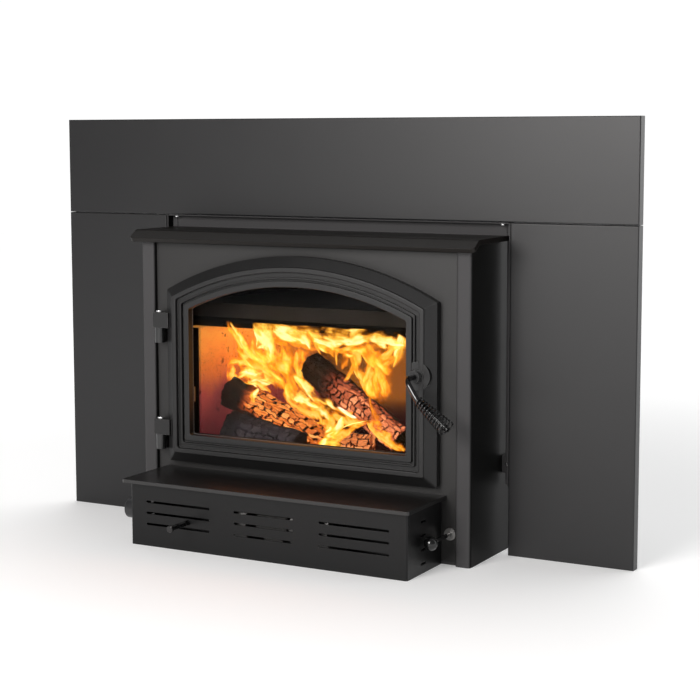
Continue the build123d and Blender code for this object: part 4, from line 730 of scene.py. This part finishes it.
# each tongue in millimetres: its plane and its path as (x, z, width);
# bow, a share of its width, is how far it bulges towards the door;
# where look or bow is left out, the one of tongueShape holds
flameRibbons = {
    "bodyLeft": {"look": "amber", "y": 150, "bow": 0.15, "path": [(-267, 333, 64), (-239, 304, 111),
        (-207, 276, 119), (-186, 250, 95), (-169, 224, 51), (-162, 206, 16)]},
    "bodyMiddle": {"look": "amber", "y": 165, "bow": 0.15, "path": [(-212, 334, 102),
        (-184, 306, 127), (-171, 276, 110), (-164, 246, 77), (-157, 222, 26)]},
    "bodyRight": {"look": "smoke", "y": 190, "bow": 0.1, "path": [(-157, 304, 49), (-109, 289, 73),
        (-61, 283, 78), (-21, 270, 78), (-1, 242, 54), (6, 219, 18)]},
    "leftCrown": {"y": -58, "path": [(-185, 375, 13), (-171, 364, 38), (-156, 346, 51),
        (-144, 327, 51), (-122, 308, 51), (-99, 293, 38), (-80, 277, 30), (-64, 264, 8)]},
    "leftCrownHeart": {"look": "white", "y": -54, "path": [(-183, 371, 6), (-170, 356, 12),
        (-153, 334, 17), (-140, 318, 17), (-121, 305, 11), (-105, 298, 3)]},
    "whiteCore": {"look": "white", "y": -56, "path": [(-132, 372, 21), (-113, 363, 60),
        (-96, 349, 88), (-88, 333, 77), (-89, 316, 45), (-93, 294, 7)]},
    "coreRise": {"y": -52, "path": [(-141, 354, 25), (-125, 333, 59), (-109, 317, 63),
        (-83, 307, 51), (-67, 291, 34), (-54, 270, 8)]},
    "crownMiddle": {"look": "white", "y": -58, "path": [(-98, 369, 27), (-73, 365, 50),
        (-50, 361, 50), (-33, 354, 37), (-23, 344, 23), (-17, 330, 3)]},
    "crownThread": {"y": -55, "path": [(-23, 365, 17), (-13, 349, 15), (-4, 333, 10), (4, 321, 2)]},
    "crownRight": {"look": "white", "y": -58, "path": [(-50, 366, 17), (-18, 363, 38),
        (13, 357, 62), (41, 353, 72), (69, 353, 65), (90, 358, 48), (107, 358, 17)]},
    "crownRightRim": {"y": -54, "path": [(-8, 351, 12), (12, 338, 33), (40, 334, 37), (64, 338, 37),
        (85, 338, 37), (106, 327, 16)]},
    "crownFall": {"y": -52, "path": [(81, 353, 25), (99, 335, 45), (118, 317, 45), (133, 304, 24),
        (142, 294, 7)]},
    "middleRise": {"y": 100, "path": [(-157, 308, 20), (-152, 285, 55), (-143, 263, 70),
        (-136, 243, 60), (-128, 221, 20)]},
    "middleRightRise": {"y": 135, "path": [(-146, 311, 27), (-145, 290, 49), (-146, 269, 50),
        (-143, 248, 36), (-140, 231, 14)]},
    "archRight": {"y": 120, "path": [(-48, 251, 6), (-33, 265, 19), (-24, 282, 23), (-24, 299, 25),
        (-37, 313, 23)]},
    "archThread": {"y": 122, "path": [(-64, 276, 3), (-64, 294, 9), (-59, 310, 12)]},
    "archInner": {"look": "amber", "y": 121, "path": [(-52, 271, 6), (-44, 289, 24),
        (-41, 310, 28)]},
    "rightCross": {"y": 100, "path": [(-19, 309, 20), (-12, 288, 22), (3, 263, 27), (23, 240, 37),
        (33, 224, 10)]},
    "farRightFall": {"y": 90, "path": [(22, 314, 32), (38, 292, 40), (49, 270, 43), (57, 249, 40),
        (58, 223, 7)]},
    "farRightRise": {"y": 70, "path": [(102, 341, 35), (81, 316, 49), (63, 295, 67), (51, 270, 76),
        (42, 249, 67), (38, 229, 14)]},
    "farRightBlade": {"look": "white", "y": -58, "path": [(170, 365, 40), (164, 346, 36),
        (155, 327, 24), (145, 308, 4)]},
    "crownFarRight": {"look": "white", "y": -58, "path": [(93, 360, 16), (118, 357, 32),
        (139, 356, 40), (160, 355, 35), (174, 353, 16)]},
    "leftVeil": {"look": "amber", "y": 60, "bow": 0.15, "path": [(-270, 351, 36), (-242, 329, 71),
        (-225, 300, 77), (-218, 271, 65), (-212, 244, 24)]},
    "crownUnder": {"y": -50, "path": [(-97, 348, 17), (-71, 344, 34), (-42, 340, 39),
        (-14, 338, 31), (12, 335, 17)]},
    "rightHaze": {"look": "amber", "y": 125, "bow": 0.1, "path": [(16, 316, 63), (29, 287, 91),
        (32, 256, 94), (34, 230, 56), (37, 209, 21)]},
    "loopOuter": {"y": 20, "bow": 0.25, "path": [(-210, 238, 6), (-224, 254, 30), (-231, 270, 38),
        (-221, 288, 42), (-198, 292, 47), (-176, 287, 54), (-153, 281, 54), (-137, 270, 42),
        (-131, 258, 27), (-130, 244, 6)]},
    "loopCore": {"look": "white", "y": 24, "path": [(-222, 260, 21), (-201, 267, 42),
        (-177, 268, 67), (-155, 266, 63), (-141, 257, 29), (-136, 246, 6)]},
    "loopFoot": {"y": 12, "path": [(-217, 259, 15), (-190, 253, 18), (-165, 253, 23),
        (-148, 247, 20), (-139, 235, 4)]},
    "loopBridge": {"y": 30, "path": [(-146, 270, 17), (-126, 260, 32), (-112, 244, 32),
        (-102, 227, 15)]},
    "streak": {"look": "white", "y": 20, "path": [(-99, 277, 5), (-85, 263, 19), (-65, 247, 26),
        (-41, 233, 28), (-18, 223, 21), (2, 215, 5)]},
    "lowRise": {"y": 8, "path": [(-97, 276, 14), (-97, 253, 40), (-86, 234, 58), (-60, 224, 54),
        (-33, 217, 64), (-10, 203, 78), (-8, 184, 60), (-23, 167, 14)]},
    "lowCore": {"look": "white", "y": 0, "path": [(-92, 242, 9), (-76, 236, 34), (-55, 229, 37),
        (-33, 220, 33), (-14, 209, 33), (-4, 196, 11)]},
    "lowSide": {"look": "white", "y": -6, "path": [(20, 208, 6), (15, 195, 21), (1, 182, 22),
        (-21, 171, 5)]},
    "lowBridge": {"y": 4, "path": [(-9, 215, 34), (16, 208, 42), (38, 201, 28), (67, 202, 7)]},
    "bottomGold": {"y": -45, "path": [(-11, 160, 8), (8, 171, 34), (27, 181, 42), (46, 191, 25),
        (71, 203, 14), (99, 214, 3)]},
    "bottomCore": {"look": "white", "y": -50, "path": [(-5, 164, 13), (14, 169, 30), (32, 173, 33),
        (46, 165, 8)]},
    "bottomLine": {"look": "white", "y": -52, "path": [(6, 179, 2), (31, 191, 4), (62, 206, 4),
        (99, 215, 2)]},
    "lick": {"look": "white", "y": -25, "path": [(-154, 220, 5), (-153, 235, 22), (-147, 244, 17),
        (-141, 252, 3)]},
    "rimSpark": {"look": "spark", "y": 40, "bow": 0.1, "path": [(-20, 218, 4), (-3, 210, 9),
        (13, 202, 8), (25, 199, 3)]},
    "lowRight": {"y": -10, "path": [(71, 212, 11), (88, 195, 33), (108, 181, 33), (128, 169, 25),
        (145, 158, 11)]},
    "lowRightRise": {"look": "amber", "y": 30, "path": [(59, 244, 17), (66, 222, 31), (69, 200, 31),
        (78, 181, 17)]},
}

# top: how high a tongue may reach behind the air tubes and in front of them
tongueShape = {"look": "gold", "steps": 30, "columns": 8, "bow": 0.2, "sway": 0.006,
               "swayScale": 20, "tubeFront": -0.05, "top": (0.3565, 0.372), "side": 0.233}


def smoothPath(points, steps):
    # a curve through all points, which starts at the first and stops at the last
    ends = [points[0], *points, points[-1]]
    spans = len(points) - 1
    path = []
    for step in range(steps + 1):
        place = step / steps * spans
        span = min(int(place), spans - 1)
        t = place - span
        corners = zip(*ends[span:span + 4])
        path.append([0.5 * (2 * b + (c - a) * t + (2 * a - 5 * b + 4 * c - d) * t ** 2
                            + (3 * b - a - 3 * c + d) * t ** 3) for a, b, c, d in corners])
    return path


def makeTongue(name, settings, shape, number):
    mesh = bmesh.new()
    steps, columns = shape["steps"], shape["columns"]
    plane = settings["y"] / 1000
    top = shape["top"][plane < shape["tubeFront"]]
    path = smoothPath([[size / 1000 for size in point] for point in settings["path"]], steps)
    run = 0.0
    rows, flow = [], []
    for step, (x, z, width) in enumerate(path):
        before, after = path[max(step - 1, 0)], path[min(step + 1, steps)]
        along = Vector((after[0] - before[0], after[1] - before[1])).normalized()
        if step:
            run += math.dist((x, z), path[step - 1][:2])
        waved = Vector((x * shape["swayScale"], z * shape["swayScale"], number))
        sway = shape["sway"] * noise.noise(waved)
        rows.append([])
        flow.append([])
        for column in range(columns + 1):
            offset = 2 * column / columns - 1
            bow = settings.get("bow", shape["bow"]) * width * (1 - offset ** 2)
            spotX = x - along.y * offset * width / 2
            spotZ = min(z + along.x * offset * width / 2, top)
            spotX = max(min(spotX, shape["side"]), -shape["side"])
            rows[step].append(mesh.verts.new((spotX, plane + sway - bow, spotZ)))
            flow[step].append((offset * width / 2 + number, run + number))
    weave(mesh, rows, {"shape": lambda row, column: (column / columns, row / steps),
                       "flow": lambda row, column: flow[row][column]})
    piece = meshObject(name, mesh, flameMaterials[settings.get("look", shape["look"])])
    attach(piece, "insert")


for number, (name, settings) in enumerate(flameRibbons.items()):
    makeTongue("flame" + name[0].upper() + name[1:], settings, tongueShape, number)
print("flames:", len(flameRibbons))


def hazeMaterial(name, settings):
    # glowing smoke behind the flames, and painted fire light on the back of the firebox, stirred
    # and drawn upwards, faded at its sides and its foot
    material, tree, shader = glowingMaterial(name, settings["strength"])
    coords = objectCoords(tree)
    swirl = noiseTexture(tree, coords, settings["swirlScale"], output="Color")
    push = vectorMath(tree, "SUBTRACT", swirl, (0.5, 0.5, 0.5))
    push = vectorMath(tree, "SCALE", push, settings["swirl"])
    turned = newNode(tree, "VectorRotate", Vector=vectorMath(tree, "ADD", coords, push),
                     Angle=settings["lean"])
    turned.rotation_type = "Y_AXIS"
    risen = placed(tree, turned.outputs[0], scale=settings["stretch"])
    smoke = noiseTexture(tree, risen, settings["smokeScale"], detail=3.0, roughness=0.45)
    thick = mathNode(tree, "ADD", remap(tree, smoke, 0.34, 0.66), 0.35)
    spot = axes(tree, uvCoords(tree))
    shown = times(tree, fadeEnds(tree, spot[0], 0.2), remap(tree, spot[1], 0.0, 0.4))
    body = times(tree, thick, shown)
    fill(tree, shader, Emission_Color=colorRamp(tree, body, settings["glow"]),
         Alpha=times(tree, remap(tree, body, 0.0, 1.0), settings["cover"]))
    return material


hazeSettings = {
    "x": (-0.17, 0.17), "y": 0.225, "z": (0.15, 0.356), "columns": 40, "rows": 20, "wave": 0.02,
    "waveScale": (14, 50, 9), "swirlScale": 7.0, "swirl": 0.1, "lean": 0.5,
    "stretch": (1.0, 1.0, 0.36), "smokeScale": 8.0, "strength": 0.8, "cover": 0.85,
    "glow": [(0.0, (0.04, 0.011, 0.003)), (0.5, (0.14, 0.04, 0.006)), (1.0, (0.4, 0.12, 0.015))]}


def makeSheet(name, settings):
    mesh = bmesh.new()
    columns, rows = settings["columns"], settings["rows"]
    (lowX, highX), (lowZ, highZ) = settings["x"], settings["z"]
    scaleX, scaleY, scaleZ = settings["waveScale"]
    grid = []
    for row in range(rows + 1):
        grid.append([])
        for column in range(columns + 1):
            x = lowX + (highX - lowX) * column / columns
            z = lowZ + (highZ - lowZ) * row / rows
            wave = noise.noise(Vector((x * scaleX, settings["y"] * scaleY, z * scaleZ)))
            y = settings["y"] + settings["wave"] * wave
            grid[row].append(mesh.verts.new((x, y, z)))
    weave(mesh, grid, {"UVMap": lambda row, column: (column / columns, row / rows)})
    piece = meshObject(name, mesh, hazeMaterial(name, settings))
    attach(piece, "insert")


# a sheet glowing as smoke and as painted fire light on the back of the firebox
makeSheet("smokeAndBackGlow", hazeSettings)
print("haze ready")


# studio

floorSettings = {"size": 14.0, "color": (0.82, 0.82, 0.82), "dimColor": (0.81, 0.81, 0.81),
                 "lift": 0.24, "farLift": 0.44, "farFrom": 0.7, "farTo": 2.2}


def makeFloor(settings):
    # lifted by a little light of its own, and more of it further out
    mesh = bmesh.new()
    bmesh.ops.create_grid(mesh, x_segments=8, y_segments=8, size=settings["size"] / 2)
    material, tree, shader = newMaterial("studioFloor", Metallic=0.0, Roughness=0.7,
                                         Specular_IOR_Level=0.2, Emission_Color=(1.0, 1.0, 1.0))
    coords = objectCoords(tree)
    mottle = noiseTexture(tree, coords, 2.0)
    fill(tree, shader, Base_Color=mixColor(tree, mottle, settings["dimColor"], settings["color"]),
         Emission_Strength=remap(tree, vectorMath(tree, "LENGTH", coords), settings["farFrom"],
                                 settings["farTo"], settings["lift"], settings["farLift"]))
    floor = meshObject("studioFloor", mesh, material)


makeFloor(floorSettings)

worldSettings = {"front": 0.23, "back": 1.9, "frontEnd": -0.1, "backStart": 0.8, "seen": 1.05,
                 "leftShade": 0.5, "shadeFrom": -0.66, "shadeTo": -0.4}


def makeWorld(settings):
    # pale all round, brighter behind the part than in front of it, dimmer to the left,
    # plain white where it is looked at
    world = bpy.data.worlds.new("studioWorld")
    bpy.context.scene.world = world
    world.use_nodes = True
    tree = world.node_tree
    spot = axes(tree, newNode(tree, "TexCoord").outputs["Generated"])
    level = remap(tree, spot[1], settings["frontEnd"], settings["backStart"],
                  settings["front"], settings["back"])
    shade = remap(tree, spot[0], settings["shadeFrom"], settings["shadeTo"],
                  settings["leftShade"], 1.0)
    seen = newNode(tree, "LightPath").outputs["Is Camera Ray"]
    fill(tree, tree.nodes["Background"],
         Color=mixColor(tree, seen, times(tree, level, shade), (settings["seen"],) * 3))


makeWorld(worldSettings)

softBoxes = {
    "keyBox": {"place": (-0.2, -3.0, 1.45), "aim": (0.3, 0.0, 0.5), "size": (1.4, 1.4),
               "power": 92.0, "color": (1.0, 0.975, 0.96)},
    "windowGlow": {"place": (0.0, -0.1302, 0.305), "aim": (0.0, -1.0, 0.305),
                   "size": (0.36, 0.2), "power": 0.25, "color": (1.0, 0.22, 0.05)},
}
fireGlow = {"color": (1.0, 0.42, 0.12), "radius": 0.04}
fireLights = {
    "fireLeft": {"place": (-0.12, 0.03, 0.31), "power": 0.4},
    "fireMiddle": {"place": (0.02, 0.12, 0.3), "power": 0.3},
    "fireRight": {"place": (0.14, 0.02, 0.28), "power": 0.2},
}


def addLamp(name, kind, settings):
    lamp = bpy.data.lights.new(name, kind)
    lamp.energy = settings["power"]
    lamp.color = settings["color"]
    holder = addObject(name, lamp)
    holder.location = settings["place"]
    holder.visible_camera = False
    return lamp, holder


for name, settings in softBoxes.items():
    lamp, holder = addLamp(name, "AREA", settings)
    lamp.shape = "RECTANGLE"
    lamp.size, lamp.size_y = settings["size"]
    direction = Vector(settings["aim"]) - Vector(settings["place"])
    holder.rotation_euler = direction.to_track_quat("-Z", "Y").to_euler()
for name, settings in fireLights.items():
    lamp, holder = addLamp(name, "POINT", {**fireGlow, **settings})
    lamp.shadow_soft_size = fireGlow["radius"]
    holder.visible_transmission = False
    holder.visible_glossy = False
print("studio ready")

photoView = {"place": (1.4092, -2.5483, 0.6957), "turn": (83.76, 0.07, 28.25), "lens": 85.89,
             "shift": (-0.0066, -0.043)}
lens = bpy.data.cameras.new("photoCamera")
lens.sensor_width = 36.0
lens.lens = photoView["lens"]
lens.shift_x, lens.shift_y = photoView["shift"]
camera = addObject("photoCamera", lens)
camera.location = photoView["place"]
camera.rotation_euler = [math.radians(angle) for angle in photoView["turn"]]
bpy.context.scene.camera = camera
bpy.context.scene.view_settings.view_transform = "Standard"
